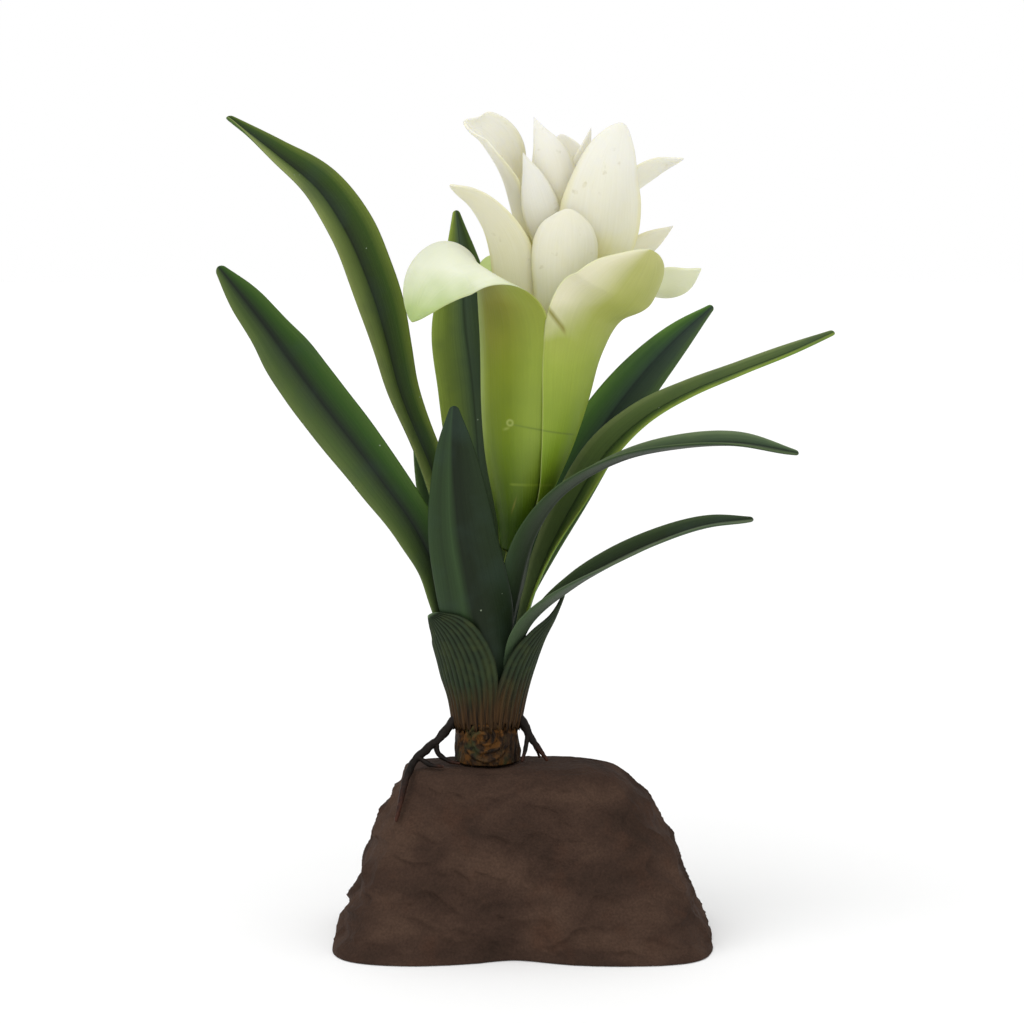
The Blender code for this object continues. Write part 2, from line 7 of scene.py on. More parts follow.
import bpy
import numpy as np
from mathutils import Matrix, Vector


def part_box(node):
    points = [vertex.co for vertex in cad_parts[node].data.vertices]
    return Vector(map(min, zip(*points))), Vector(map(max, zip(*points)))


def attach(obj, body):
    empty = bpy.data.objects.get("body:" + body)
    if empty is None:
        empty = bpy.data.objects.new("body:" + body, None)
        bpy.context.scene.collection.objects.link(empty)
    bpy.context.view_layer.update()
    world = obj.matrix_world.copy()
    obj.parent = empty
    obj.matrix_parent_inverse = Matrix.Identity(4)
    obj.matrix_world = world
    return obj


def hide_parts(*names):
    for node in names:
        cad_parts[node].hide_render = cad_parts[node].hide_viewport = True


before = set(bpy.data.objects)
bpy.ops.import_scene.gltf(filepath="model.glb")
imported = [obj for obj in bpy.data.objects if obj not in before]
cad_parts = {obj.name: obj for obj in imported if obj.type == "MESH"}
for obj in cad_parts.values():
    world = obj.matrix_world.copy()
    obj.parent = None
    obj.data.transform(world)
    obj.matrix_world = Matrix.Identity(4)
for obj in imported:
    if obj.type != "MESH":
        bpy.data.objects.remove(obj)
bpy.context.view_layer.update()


# ---- The rock ------------------------------------------------------------------------------------
# The rock is one block of dark brown slaty stone. It has broad facets, thin steps that run aslant
# across its faces, and a sandy grain, and it stands free on its flat underside.

MM = 0.001
ROCK_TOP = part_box("rock")[1].z / MM
ROCK_FOOT_SQUARENESS = 5.0  # 2 would make its outline an ellipse
ROCK_TOP_SQUARENESS = 3.2
ROCK_BAY = 7.5  # how far the front of its foot steps back, in this direction and over this angle
ROCK_BAY_TOWARDS = 1.5 * np.pi - 0.07
ROCK_BAY_ANGLE = 0.42
ROCK_UNDER, ROCK_SIDE, ROCK_OVER = 0.06, 0.72, 0.22  # shares of its rings on the underside, side and top
ROCK_RIM = 0.9  # how far the rim of its top is rounded down
ROCK_RINGS, ROCK_AROUND = 190, 420

# The rock's reach from its middle at each height, to the left, the right, the front and the back.
ROCK_HEIGHTS = [0, 2, 5, 9, 13, 19, 25, 31, 37, 43, 49, 52, ROCK_TOP]
ROCK_REACH = {
    180: [57.3, 56.6, 54.0, 54.0, 51.2, 48.2, 47.6, 44.8, 43.2, 40.0, 36.6, 35.0, 33.2],
    0: [57.4, 57.4, 56.0, 54.2, 52.4, 49.8, 47.4, 45.9, 41.9, 39.7, 32.8, 28.4, 25.0],
    270: [38.4, 37.6, 36.6, 35.6, 34.6, 32.6, 30.6, 28.6, 26.6, 24.0, 20.5, 18.0, 15.6],
    90: [34.8, 34.2, 33.6, 32.8, 31.8, 30.0, 28.2, 26.4, 24.4, 21.8, 18.4, 15.4, 11.8],
}


def lumps(points, size, seed):
    """Smooth noise from -1 to 1. A lattice of cells of that size holds random values, and inside a
    cell they are blended along each axis by s^2 (3 - 2 s)."""
    values = np.random.default_rng(seed).uniform(-1, 1, (32, 32, 32))
    cell = np.floor(points / size).astype(int)
    share = points / size - cell
    share = share * share * (3 - 2 * share)
    total = 0
    for corner in np.ndindex(2, 2, 2):
        weight = np.prod(np.where(corner, share, 1 - share), axis=-1)
        x, y, z = np.moveaxis((cell + corner) % 32, -1, 0)
        total = total + weight * values[x, y, z]
    return total


def closed_skin(name, shells, material):
    """An object from one or more closed shells. A shell is (rings, across, along): rings is an array
    (ring, step, xyz) in millimetres, whose steps go round counterclockwise as the rings advance.
    Each ring joins the next, its last point joins its first, and the middle of each end ring closes
    that end. The UV map holds across, one value more than there are steps, and along, one per ring."""
    points, faces, corners = [], [], []
    first = 0
    for rings, across, along in shells:
        count, around = rings.shape[:2]
        points += [rings.reshape(-1, 3), rings[:1].mean(axis=1), rings[-1:].mean(axis=1)]
        ring, step = np.meshgrid(np.arange(count - 1), np.arange(around), indexing="ij")
        ring, step = ring.ravel(), step.ravel()
        rows = np.stack([ring, ring, ring + 1, ring + 1], axis=1)
        columns = np.stack([step, step + 1, step + 1, step], axis=1)
        faces += (first + rows * around + columns % around).tolist()
        corners.append(np.stack([across[columns], along[rows]], axis=-1).reshape(-1, 2))
        edge = np.arange(around)
        for pole, ring, turn in ((count * around, 0, [1, 0]), (count * around + 1, count - 1, [0, 1])):
            ends = edge[:, None] + turn
            fan = np.column_stack([np.full(around, pole), ring * around + ends % around])
            faces += (first + fan).tolist()
            u = np.column_stack([across[ends].mean(axis=1), across[ends]])
            corners.append(np.stack([u, np.full_like(u, along[ring])], axis=-1).reshape(-1, 2))
        first += count * around + 2
    mesh = bpy.data.meshes.new(name)
    mesh.from_pydata(np.concatenate(points) * MM, [], faces)
    mesh.uv_layers.new(name="across_and_along").uv.foreach_set("vector", np.concatenate(corners).ravel())
    mesh.shade_smooth()
    mesh.materials.append(material)
    piece = bpy.data.objects.new(name, mesh)
    bpy.context.scene.collection.objects.link(piece)
    return piece


def even_shell(rings):
    """A shell of these rings, whose across and along run evenly from 0 to 1."""
    count, around = rings.shape[:2]
    return rings, np.linspace(0, 1, around + 1), np.linspace(0, 1, count)


def stand_in(piece, cad_node):
    """The piece rides on the root body and is shown in place of its CAD node."""
    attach(piece, "root")
    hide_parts(cad_node)


def paint(red, green, blue):
    """A colour given from 0 to 255 as on a paint chart, made linear: ((c + 0.055) / 1.055) ^ 2.4."""
    chart = np.array([red, green, blue]) / 255
    return (*np.where(chart > 0.04045, ((chart + 0.055) / 1.055) ** 2.4, chart / 12.92).tolist(), 1.0)


def node(tree, kind, inputs=None, **settings):
    """Adds a shader node of that kind. An input is a number, a colour or another node's output."""
    made = tree.nodes.new("ShaderNode" + kind)
    for key, value in settings.items():
        setattr(made, key, value)
    for key, value in (inputs or {}).items():
        if isinstance(value, bpy.types.NodeSocket):
            tree.links.new(value, made.inputs[key])
        else:
            made.inputs[key].default_value = value
    return made


def sums(tree, operation, *values):
    """The output of a Math node: the operation on one, two or three numbers or outputs."""
    return node(tree, "Math", dict(enumerate(values)), operation=operation).outputs[0]


def climb(tree, value, low, high, top=1.0):
    """0 where the value is low, evenly up to top where it is high, and level beyond both."""
    return node(tree, "MapRange", {0: value, 1: low, 2: high, 4: top}).outputs[0]


def tint(tree, share, under, over, blend="MIX"):
    """The colour under, with this share of the colour over mixed in."""
    inputs = {0: share, 6: under, 7: over}
    return node(tree, "Mix", inputs, data_type="RGBA", blend_type=blend).outputs[2]


def steps(tree, value, stops):
    """The output of a colour ramp through these stops, (place, colour or grey)."""
    ramp = node(tree, "ValToRGB", {0: value})
    elements = ramp.color_ramp.elements
    while len(elements) < len(stops):
        elements.new(0.5)
    for element, (place, colour) in zip(elements, stops):
        element.position = place
        element.color = colour if isinstance(colour, tuple) else (colour, colour, colour, 1)
    return ramp.outputs[0]


def vary(tree, share, colour, pattern, swing):
    """The colour with this share of its lighter and darker version, as the pattern swings round 0.5."""
    grey = steps(tree, pattern, [(0.3, 0.5 - swing), (0.7, 0.5 + swing)])
    return tint(tree, share, colour, grey, "OVERLAY")


def grain(tree, vector, scale, detail=2.0, stretch=None, twist=0.0):
    """Noise around 0.5 in the given coordinates, stretched where the three numbers of stretch differ."""
    if stretch:
        vector = node(tree, "Mapping", {"Vector": vector, "Scale": stretch}).outputs[0]
    inputs = {"Vector": vector, "Scale": scale, "Detail": detail, "Distortion": twist}
    return node(tree, "TexNoise", inputs).outputs[0]


def new_finish(name, **sockets):
    """A material: (material, its node tree, its shader, its own coordinates). Sockets are named with _
    for a space and set on the shader itself."""
    material = bpy.data.materials.new(name)
    material.use_nodes = True
    tree = material.node_tree
    shader = tree.nodes["Principled BSDF"]
    for key, value in sockets.items():
        shader.inputs[key.replace("_", " ")].default_value = value
    return material, tree, shader, node(tree, "TexCoord").outputs["Object"]


def relief(tree, shader, height, depth, strength=1.0):
    """Bumps the finish by the height, which runs from 0 to 1 and stands for depth in millimetres."""
    inputs = {"Height": height, "Distance": depth * MM, "Strength": strength}
    tree.links.new(node(tree, "Bump", inputs).outputs[0], shader.inputs["Normal"])


def rock_rings(rings, around):
    """R(h, d) is the reach to the side at height h in direction d, between its four tabled reaches:
    (|cos d / a|^n + |sin d / b|^n)^(-1/n). Slate steps and lumps push the surface out or in along d.
    The underside and the top go straight in to the middle."""
    path = np.linspace(0, 1, rings)[:, None]
    direction = np.linspace(0, 2 * np.pi, around, endpoint=False)[None]
    side = np.clip((path - ROCK_UNDER) / ROCK_SIDE, 0, 1)
    inward = np.minimum(np.minimum(path / ROCK_UNDER, (1 - path) / ROCK_OVER), 1)
    height = np.broadcast_to(side * ROCK_TOP, (rings, around))
    c, s = np.cos(direction), np.sin(direction)
    reaches = {way: np.interp(height, ROCK_HEIGHTS, row) for way, row in ROCK_REACH.items()}
    half_x = np.where(c > 0, reaches[0], reaches[180])
    half_y = np.where(s > 0, reaches[90], reaches[270])
    power = ROCK_FOOT_SQUARENESS + (ROCK_TOP_SQUARENESS - ROCK_FOOT_SQUARENESS) * side
    reach = (np.abs(c / half_x) ** power + np.abs(s / half_y) ** power) ** (-1 / power)
    from_bay = (direction - ROCK_BAY_TOWARDS) / ROCK_BAY_ANGLE
    reach -= ROCK_BAY * (1 - side) ** 4 * np.exp(-(from_bay**2))
    place = np.stack([reach * c, reach * s, height], axis=-1)
    facets = 0.9 * lumps(place, 24, 3) + 0.7 * lumps(place, 11, 4)
    aslant = place @ np.array([[0.8, 0, -0.4], [0, 1, 0], [0.7, 0.2, 1.6]]).T
    ledge = 1 - np.abs(lumps(aslant, 13, 8) + 0.35 * lumps(aslant, 5, 9))
    grit = 0.3 * lumps(place, 3.1, 5) + 0.14 * lumps(place, 1.5, 6)
    out = facets + 2.0 * ledge**3 - 2.0 + grit
    out *= np.clip(height / 3, 0.15, 1) * np.clip((1.12 - side) * 4, 0.3, 1)
    x, y = (reach + out) * inward * c, (reach + out) * inward * s

    on_top = path > 1 - ROCK_OVER
    flat = np.stack([x, y, height], axis=-1)
    rise = np.minimum(0.3 * lumps(flat, 7, 7) + 0.1 * lumps(flat, 2, 2) - 0.3, 0.2)
    past_rim = np.clip((path - 1 + ROCK_OVER) / 0.04, 0, 1)
    drop = np.where(on_top, 1 - past_rim, np.clip((side - 0.94) / 0.06, 0, 1) ** 2)
    z = height + np.where(on_top, rise, 0) - ROCK_RIM * drop
    return np.stack([x, y, np.where(path < ROCK_UNDER, 0, z)], axis=-1)


def rock_finish():
    """Dark brown in paler and darker patches, with a little rust, and sandy all over."""
    material, tree, shader, place = new_finish("rock_brown_stain", Specular_IOR_Level=0.1)
    patches = grain(tree, place, 40, 6, stretch=(1, 1, 1.8), twist=0.4)
    browns = [(0.34, paint(45, 33, 26)), (0.5, paint(57, 42, 34)), (0.66, paint(70, 53, 43))]
    colour = steps(tree, patches, browns)
    rust = steps(tree, grain(tree, place, 85, 3), [(0.55, 0.0), (0.72, 0.5)])
    colour = tint(tree, rust, colour, paint(66, 45, 34))
    sand = grain(tree, place, 1500, 3)
    colour = vary(tree, 0.35, colour, sand, 0.25)
    tree.links.new(colour, shader.inputs["Base Color"])
    rough = steps(tree, patches, [(0.3, 0.82), (0.7, 0.95)])
    tree.links.new(rough, shader.inputs["Roughness"])
    chips = grain(tree, place, 420, 4)
    relief(tree, shader, sums(tree, "MULTIPLY_ADD", sand, 0.3, chips), 0.7, 0.8)
    return material


rock = closed_skin("rock_block", [even_shell(rock_rings(ROCK_RINGS, ROCK_AROUND))], rock_finish())
stand_in(rock, "rock")


# ---- The stub ------------------------------------------------------------------------------------
# The stub is the woody foot of the plant, with fibrous bark and, in front, a round swirl of scar
# where an old shoot broke off. It stands upright on the rock, and its roots hold it there.

STUB_X = -10.6
STUB_FOOT = [(53.4, 0.2), (53.5, 8.6), (54.2, 10.0), (57, 9.9)]  # rows of (height, radius)
STUB_PROFILE = STUB_FOOT + [(62, 9.2), (68, 9.1), (73.3, 9.2), (74.4, 8.2), (74.5, 0.2)]
SWIRL_AT = (-0.7, 62.3)  # sideways from the stub's axis, and height
SWIRL_RADIUS = 8.0


def turned_rings(profile, axis, around, fine=4):
    """A surface of revolution round a leaning axis: profile is (height, radius) upwards, with fine
    rings between two of its rows, and axis is rows of (x, y, z)."""
    profile, axis = np.array(profile, float), np.array(axis, float)
    at = np.linspace(0, len(profile) - 1, fine * (len(profile) - 1) + 1)
    height = np.interp(at, np.arange(len(profile)), profile[:, 0])[:, None]
    radius = np.interp(at, np.arange(len(profile)), profile[:, 1])[:, None]
    direction = np.linspace(0, 2 * np.pi, around, endpoint=False)[None]
    x = np.interp(height, axis[:, 2], axis[:, 0]) + radius * np.cos(direction)
    y = np.interp(height, axis[:, 2], axis[:, 1]) + radius * np.sin(direction)
    return np.stack([x, y, np.broadcast_to(height, x.shape)], axis=-1)


def bark_rings(around):
    """The turned stub, pushed out along its radius by upright fibres and knots, and in front by the
    swirl: a low dome on which a spiral ridge, cos(2.4 r - 2 angle), runs into the middle. Its flat ends
    stay flat."""
    rings = turned_rings(STUB_PROFILE, [[STUB_X, 0, 0], [STUB_X, 0, 100]], around, fine=14)
    centre = np.array([STUB_X, 0, 0])
    outward = rings - centre
    outward[..., 2] = 0
    radius = np.linalg.norm(outward, axis=-1, keepdims=True)
    outward /= radius
    tall = rings * [1, 1, 0.22]
    fibre = 0.5 * lumps(tall, 1.6, 11) + 0.3 * lumps(tall, 0.8, 12) + 0.5 * lumps(rings, 4, 13)
    aside, up = rings[..., 0] - STUB_X - SWIRL_AT[0], rings[..., 2] - SWIRL_AT[1]
    away = np.hypot(aside, up)
    inside = np.clip((SWIRL_RADIUS - away) / 1.2, 0, 1) * (rings[..., 1] < 0)
    warped = away + 0.9 * lumps(rings, 2.6, 14)
    spiral = 0.55 * np.cos(2.4 * warped - 2 * np.arctan2(up, aside)) + 0.25 * lumps(rings, 1.2, 15)
    dome = 0.9 * np.sqrt(np.clip(1 - (away / SWIRL_RADIUS) ** 2, 0, 1))
    out = fibre * (1 - inside) + (spiral + dome) * inside
    return rings + outward * (out * np.clip(radius[..., 0] / 8 - 0.3, 0, 0.7) / 0.7)[..., None]


def bark_finish():
    """Brown bark in upright streaks, with orange and mossy green patches and near-black hollows."""
    material, tree, shader, place = new_finish("stub_bark", Specular_IOR_Level=0.12, Roughness=0.7)
    streaks = grain(tree, place, 520, 4, stretch=(1, 1, 0.2))
    browns = [(0.34, paint(22, 14, 8)), (0.5, paint(44, 30, 17)), (0.66, paint(70, 50, 26))]
    colour = steps(tree, streaks, browns)
    orange = steps(tree, grain(tree, place, 210, 3, twist=1.2), [(0.46, 0.0), (0.6, 0.85)])
    colour = tint(tree, orange, colour, paint(88, 56, 20))
    moss = steps(tree, grain(tree, place, 190, 3, stretch=(1.3, 1, 1)), [(0.56, 0.0), (0.68, 0.8)])
    colour = tint(tree, moss, colour, paint(44, 50, 28))
    hollows = steps(tree, grain(tree, place, 640, 4), [(0.32, 0.85), (0.46, 0.0)])
    colour = tint(tree, hollows, colour, paint(12, 8, 6))
    tree.links.new(colour, shader.inputs["Base Color"])
    relief(tree, shader, streaks, 0.8, 0.9)
    return material


stub = closed_skin("stub_bark", [even_shell(bark_rings(around=220))], bark_finish())
stand_in(stub, "stub")


# ---- The roots -----------------------------------------------------------------------------------
# Two wiry roots leave the stub above the rock and fork. The left one runs over the rock's edge and
# down its face. They are near black, knobbly, and reddish where they thin out.

# A root's branches are rows of (x, y, z, radius). Each branch after the first grows from an earlier one.
ROOTS = {
    "root_left": [
        [
            (-18.6, -2.2, 68.6, 1.5), (-21.0, -3.0, 66.0, 1.5), (-24.7, -5.0, 61.8, 1.3),
            (-29.1, -7.0, 58.0, 1.3), (-31.9, -9.2, 55.9, 1.2), (-34.2, -13.4, 51.8, 1.1),
            (-35.8, -18.0, 46.0, 0.9), (-37.4, -21.6, 39.6, 0.5),
        ],
        [
            (-26.0, -5.6, 60.8, 0.9), (-25.2, -6.2, 57.4, 0.8), (-22.4, -7.0, 55.2, 0.6),
            (-18.6, -7.6, 54.3, 0.4),
        ],
        [(-31.0, -8.6, 56.4, 0.8), (-27.6, -10.2, 54.6, 0.7), (-23.4, -11.6, 54.2, 0.4)],
    ],
    "root_right": [
        [
            (-2.6, -1.6, 69.0, 1.4), (-0.1, -2.0, 66.2, 1.4), (2.4, -3.0, 61.8, 1.2),
            (5.0, -4.0, 58.4, 0.8), (7.8, -5.0, 54.6, 0.5),
        ],
        [(2.0, -2.9, 62.4, 0.9), (1.0, -5.0, 58.4, 0.7), (0.0, -6.6, 54.6, 0.5)],
        [(2.6, -3.1, 61.4, 0.8), (4.0, -1.2, 58.4, 0.6), (5.4, 0.6, 54.6, 0.4)],
    ],
}


def curve_through(rows, shares):
    """The rows joined by cubic Hermite curves, with slopes from their neighbours, and read at these
    shares of the whole length. The first three numbers of a row are its place."""
    rows = np.array(rows, float)
    knots = np.concatenate([[0], np.cumsum(np.linalg.norm(np.diff(rows[:, :3], axis=0), axis=1))])
    slopes = np.gradient(rows, knots, axis=0)

    def curve(at):
        k = np.clip(np.searchsorted(knots, at) - 1, 0, len(rows) - 2)
        span = (knots[k + 1] - knots[k])[:, None]
        t = (at - knots[k])[:, None] / span
        return (
            (1 + 2 * t) * (1 - t) ** 2 * rows[k]
            + t * (1 - t) ** 2 * span * slopes[k]
            + t * t * (3 - 2 * t) * rows[k + 1]
            + t * t * (t - 1) * span * slopes[k + 1]
        )

    fine = np.linspace(0, knots[-1], 600)
    length = np.concatenate([[0], np.cumsum(np.linalg.norm(np.diff(curve(fine)[:, :3], axis=0), axis=1))])
    return curve(np.interp(np.asarray(shares) * length[-1], length, fine))


def unit(vectors):
    """Each vector divided by its length."""
    return vectors / np.linalg.norm(vectors, axis=-1, keepdims=True)


def root_shell(rows, seed, along=90, around=20):
    """A circle carried along the branch, r(s, a) = radius(s) (1 + knobs), with a rounded tip."""
    shares = 1 - (1 - np.linspace(0, 1, along)) ** 1.4
    stations = curve_through(rows, shares)
    spine, radius = stations[:, :3], stations[:, 3:]
    radius = radius * np.sqrt(np.clip((1 - shares[:, None]) / 0.012, 0, 1))
    travel = unit(np.gradient(spine, axis=0))
    aside = unit(np.cross(travel, [0.3, 1.0, 0.2]))[:, None]
    other = np.cross(travel[:, None], aside)
    direction = np.linspace(0, 2 * np.pi, around, endpoint=False)[:, None]
    circle = radius[:, None] * (np.cos(direction) * aside + np.sin(direction) * other)
    smooth = spine[:, None] + circle
    knobs = 1 + 0.22 * lumps(smooth, 2.0, seed) + 0.12 * lumps(smooth, 0.9, seed + 1)
    return spine[:, None] + circle * knobs[..., None], np.linspace(0, 1, around + 1), shares


def skin_map(tree):
    """(across, along, underside) of a skin. On a blade, across is 0 at its left edge and 1 at its right
    edge, along is 0 at its base and 1 at its tip, and underside is 1 on its lower face."""
    place = node(tree, "SeparateXYZ", {0: node(tree, "UVMap", uv_map="across_and_along").outputs[0]})
    across = sums(tree, "PINGPONG", place.outputs[0], 1.0)
    return across, place.outputs[1], sums(tree, "GREATER_THAN", place.outputs[0], 1.0)


def root_finish():
    """Near-black brown that turns reddish towards the thin end of each branch."""
    material, tree, shader, place = new_finish("root_black_brown", Specular_IOR_Level=0.14, Roughness=0.55)
    along = skin_map(tree)[1]
    browns = [(0.0, paint(26, 18, 12)), (0.6, paint(20, 14, 10)), (1.0, paint(66, 36, 24))]
    colour = steps(tree, along, browns)
    dark = steps(tree, grain(tree, place, 900, 3), [(0.4, 0.6), (0.6, 0.0)])
    tree.links.new(tint(tree, dark, colour, paint(10, 7, 5)), shader.inputs["Base Color"])
    relief(tree, shader, grain(tree, place, 1400, 3), 0.3, 0.7)
    return material


root_brown = root_finish()
for name, branches in ROOTS.items():
    shells = [root_shell(rows, 20 + 3 * i) for i, rows in enumerate(branches)]
    stand_in(closed_skin(f"{name}_wiry", shells, root_brown), name)


# ---- The sheaths ---------------------------------------------------------------------------------
# Three old leaf bases wrap the stub's neck, cut off short. They are thick and ribbed lengthways,
# green above, rusty brown and ragged where they grow from the stub, and pale along the cut.

SHEATH_THICKNESS = 0.9
SHEATH_RIB = 0.42  # height of a rib
SHEATH_FRAY = 4.0  # length of the ragged points at its base
FOLD_SOFTNESS = 0.03  # 0 would make a blade's fold a sharp V
MIDRIB_WIDTH = 0.9  # of the groove and the keel along a blade's middle
FRONT = np.array([0.0, -1.0, 0.0])

# Rows of (height, distance from the stub's axis, half width, azimuth), the number of ribs, and the
# depth of the scallops along the cut.
SHEATHS = {
    "sheath_left": dict(
        ribs=16,
        scallop=1.3,
        rows=[
            (67, 10.2, 11.2, 225), (73, 11.3, 12.4, 225), (79, 13.1, 14.0, 225), (86, 14.8, 14.6, 222),
            (93, 16.8, 13.4, 216), (97, 18.0, 11.8, 210), (99.8, 18.8, 10.2, 206),
        ],
    ),
    "sheath_right": dict(
        ribs=12,
        scallop=0.0,
        rows=[
            (67, 10.2, 9.4, 334), (73, 11.4, 10.3, 334), (79, 12.9, 10.7, 335), (85, 14.8, 10.8, 337),
            (91, 17.0, 9.4, 342), (98, 20.4, 5.6, 350), (105, 23.2, 0.9, 356),
        ],
    ),
    "sheath_back": dict(
        ribs=14,
        scallop=0.0,
        rows=[
            (67, 10.4, 11.4, 91), (76, 12.2, 12.6, 91), (86, 15.4, 11.5, 91), (94, 19.0, 6.0, 91),
            (99, 21.0, 1.2, 91),
        ],
    ),
}


def blade_shell(
    rows,
    fold=0.0,
    thickness=1.0,
    blunt=0.0,
    along=170,
    across=44,
    groove=0.0,
    keel=0.0,
    waves=(),
    ribs=0,
    rib_height=0.0,
    scallop=0.0,
    fray=0.0,
    relax=0,
):
    """A thin closed blade. Rows are (x, y, z, half width, turn, cup) from its base to its tip, and may
    go on with the roll of its left edge and of its right edge.

    P(s, v) = M(s) + x(s, v) R(s) + z(s, v) U(s) is its middle surface, where v runs from -1 at its
    left edge to 1 at its right edge. M is the curve through the rows, and U is the direction to the
    front, square to M and turned by the turn. (x, z) walks across the section, whose slope is
    fold v / sqrt(v^2 + FOLD_SOFTNESS) + cup v + roll |v|^3 sign v.
    The two faces lie at P + h and P - h along the section's normal, with h = thickness / 2 times
    sqrt(1 - v^8). A groove of that depth runs along the upper face and a keel along the lower one.
    Blunt rounds the tip off by sqrt(1 - s^(2 blunt)), and without it the tip ends in a small half circle.
    Each wave (count, height, start) lifts the edges by height |v|^3 sin(2 pi (count s + start)).
    Ribs run along the lower face, scallop cuts its far end in as many bows as there are ribs, and fray
    draws its base out in ragged points of up to that length, |sin(3 n v) + sin(5 n v + 1)| / 2.
    Relax averages the places of that many rings to each side, fully at the edges, so that an edge on
    the inside of a bend stays smooth.
    """
    shares = 1 - (1 - np.linspace(0, 1, along)) ** 1.35
    stations = curve_through(rows, shares)
    stations = np.pad(stations, [(0, 0), (0, 8 - stations.shape[1])])
    spine, half_width, turn, cup, roll_left, roll_right = np.split(stations, [3, 4, 5, 6, 7], axis=1)
    s = shares[:, None]
    if blunt:
        half_width = half_width * np.sqrt(np.clip(1 - s ** (2 * blunt), 1e-5, 1))
    else:
        length = np.linalg.norm(np.diff(spine, axis=0), axis=1).sum()
        left = np.clip((1 - s) * length / half_width[-1], 0, 1)
        half_width = half_width * np.sqrt(np.clip(1 - (1 - left) ** 2, 1e-3, 1))
    travel = unit(np.gradient(spine, axis=0))
    facing = unit(FRONT - (travel @ FRONT)[:, None] * travel)
    aside = np.cross(travel, facing)
    turn = np.radians(turn)
    upper = np.cos(turn) * facing + np.sin(turn) * aside
    right = np.cos(turn) * aside - np.sin(turn) * facing

    w = np.linspace(-1, 1, across + 1)[None]
    v = np.sin(w * np.pi / 2) * 0.75 + 0.25 * w**3
    lean = np.radians(fold) * v / np.sqrt(v * v + FOLD_SOFTNESS) + np.radians(cup) * v
    lean = lean + np.radians(np.where(v < 0, roll_left, roll_right)) * v**3
    for count, height, start in waves:
        swing = height / np.maximum(half_width, 2) * np.sin(2 * np.pi * (count * s + start))
        lean = lean + 3 * v * np.abs(v) * swing
    middle = (lean[:, 1:] + lean[:, :-1]) / 2
    step = half_width * np.diff(v)
    zero = np.zeros_like(half_width)
    x = np.cumsum(np.hstack([zero, np.cos(middle) * step]), axis=1)
    z = np.cumsum(np.hstack([zero, np.sin(middle) * step]), axis=1)
    x -= x[:, across // 2][:, None]
    z -= z[:, across // 2][:, None]
    surface = spine[:, None] + x[..., None] * right[:, None] + z[..., None] * upper[:, None]
    normal = np.cos(lean)[..., None] * upper[:, None] - np.sin(lean)[..., None] * right[:, None]
    if relax:
        weights = np.hanning(2 * relax + 3)[1:-1]
        ends = np.concatenate([surface[:1]] * relax + [surface] + [surface[-1:]] * relax)
        windows = np.lib.stride_tricks.sliding_window_view(ends, 2 * relax + 1, axis=0)
        surface = surface + (windows @ (weights / weights.sum()) - surface) * (v * v)[..., None]

    thin = np.tanh(half_width / thickness)
    rounded = np.sqrt(np.clip(1 - v**8, 0, 1))
    h = thickness / 2 * thin * rounded
    line = np.exp(-((v * half_width / MIDRIB_WIDTH) ** 2)) * thin * np.clip((1 - s) * 8, 0, 1)
    bows = np.abs(np.sin(np.pi * ribs * (v + 1) / 2))
    rib = rib_height * (0.5 - bows) * rounded
    points = np.abs(np.sin(3 * ribs * v) + np.sin(5 * ribs * v + 1)) / 2
    longer = scallop * (bows**0.7 - 1) * np.clip(12 * s - 11, 0, 1)
    longer = longer - fray * points * np.clip(1 - 12 * s, 0, 1)
    surface = surface + longer[..., None] * travel[:, None]
    top = surface + (h - groove * line)[..., None] * normal
    bottom = surface - (h + keel * line - rib)[..., None] * normal
    rings = np.concatenate([top, bottom[:, -2:0:-1]], axis=1)
    u = (v[0] + 1) / 2
    return rings, np.concatenate([u, 2 - u[-2::-1]]), shares


def sheath_rows(rows):
    """Blade rows on a circle round the stub's axis, cupped to the round of their own distance."""
    height, distance, half_width, azimuth = np.array(rows, float).T
    a = np.radians(azimuth)
    x, y = STUB_X + distance * np.cos(a), distance * np.sin(a)
    return np.stack([x, y, height, half_width, azimuth - 90, np.degrees(half_width / distance)], axis=1)


def streak(tree, across, along, fine, stretch, detail=2.0):
    """Noise drawn out along the blade: fine is its scale across, and stretch how much longer it is."""
    place = node(tree, "CombineXYZ", {0: across, 1: sums(tree, "DIVIDE", along, stretch)})
    return grain(tree, place.outputs[0], fine, detail)


def sheath_finish(name, ribs):
    """Grey-green with painted shade in the grooves between the ribs, rusty at the base, and pale along the
    cut edge.
    """
    material, tree, shader, place = new_finish(name, Specular_IOR_Level=0.1, Roughness=0.6)
    across, along, _ = skin_map(tree)
    # Painted shade: the greens are darkest in the grooves between the ribs and lightest on the ribs.
    rib = sums(tree, "ABSOLUTE", sums(tree, "SINE", sums(tree, "MULTIPLY", across, np.pi * ribs)))
    greens_with_painted_shading = [(0.0, paint(20, 27, 14)), (0.45, paint(32, 41, 25)), (1.0, paint(42, 54, 36))]
    colour = steps(tree, rib, greens_with_painted_shading)
    mottle = grain(tree, place, 260, 3)
    colour = tint(tree, steps(tree, mottle, [(0.45, 0.0), (0.7, 0.5)]), colour, paint(58, 66, 34))
    worn = sums(tree, "MULTIPLY_ADD", streak(tree, across, along, 16, 9), 0.3, along)
    rust = steps(tree, worn, [(0.2, 1.0), (0.32, 0.7), (0.52, 0.0)])
    fibres = streak(tree, across, along, 40, 12, 3)
    brown = steps(tree, fibres, [(0.35, paint(24, 16, 9)), (0.6, paint(66, 46, 24))])
    colour = tint(tree, rust, colour, brown)
    colour = tint(tree, steps(tree, along, [(0.972, 0.0), (0.992, 0.9)]), colour, paint(124, 146, 112))
    tree.links.new(colour, shader.inputs["Base Color"])
    relief(tree, shader, streak(tree, across, along, 70, 14, 3), 0.35, 0.8)
    return material


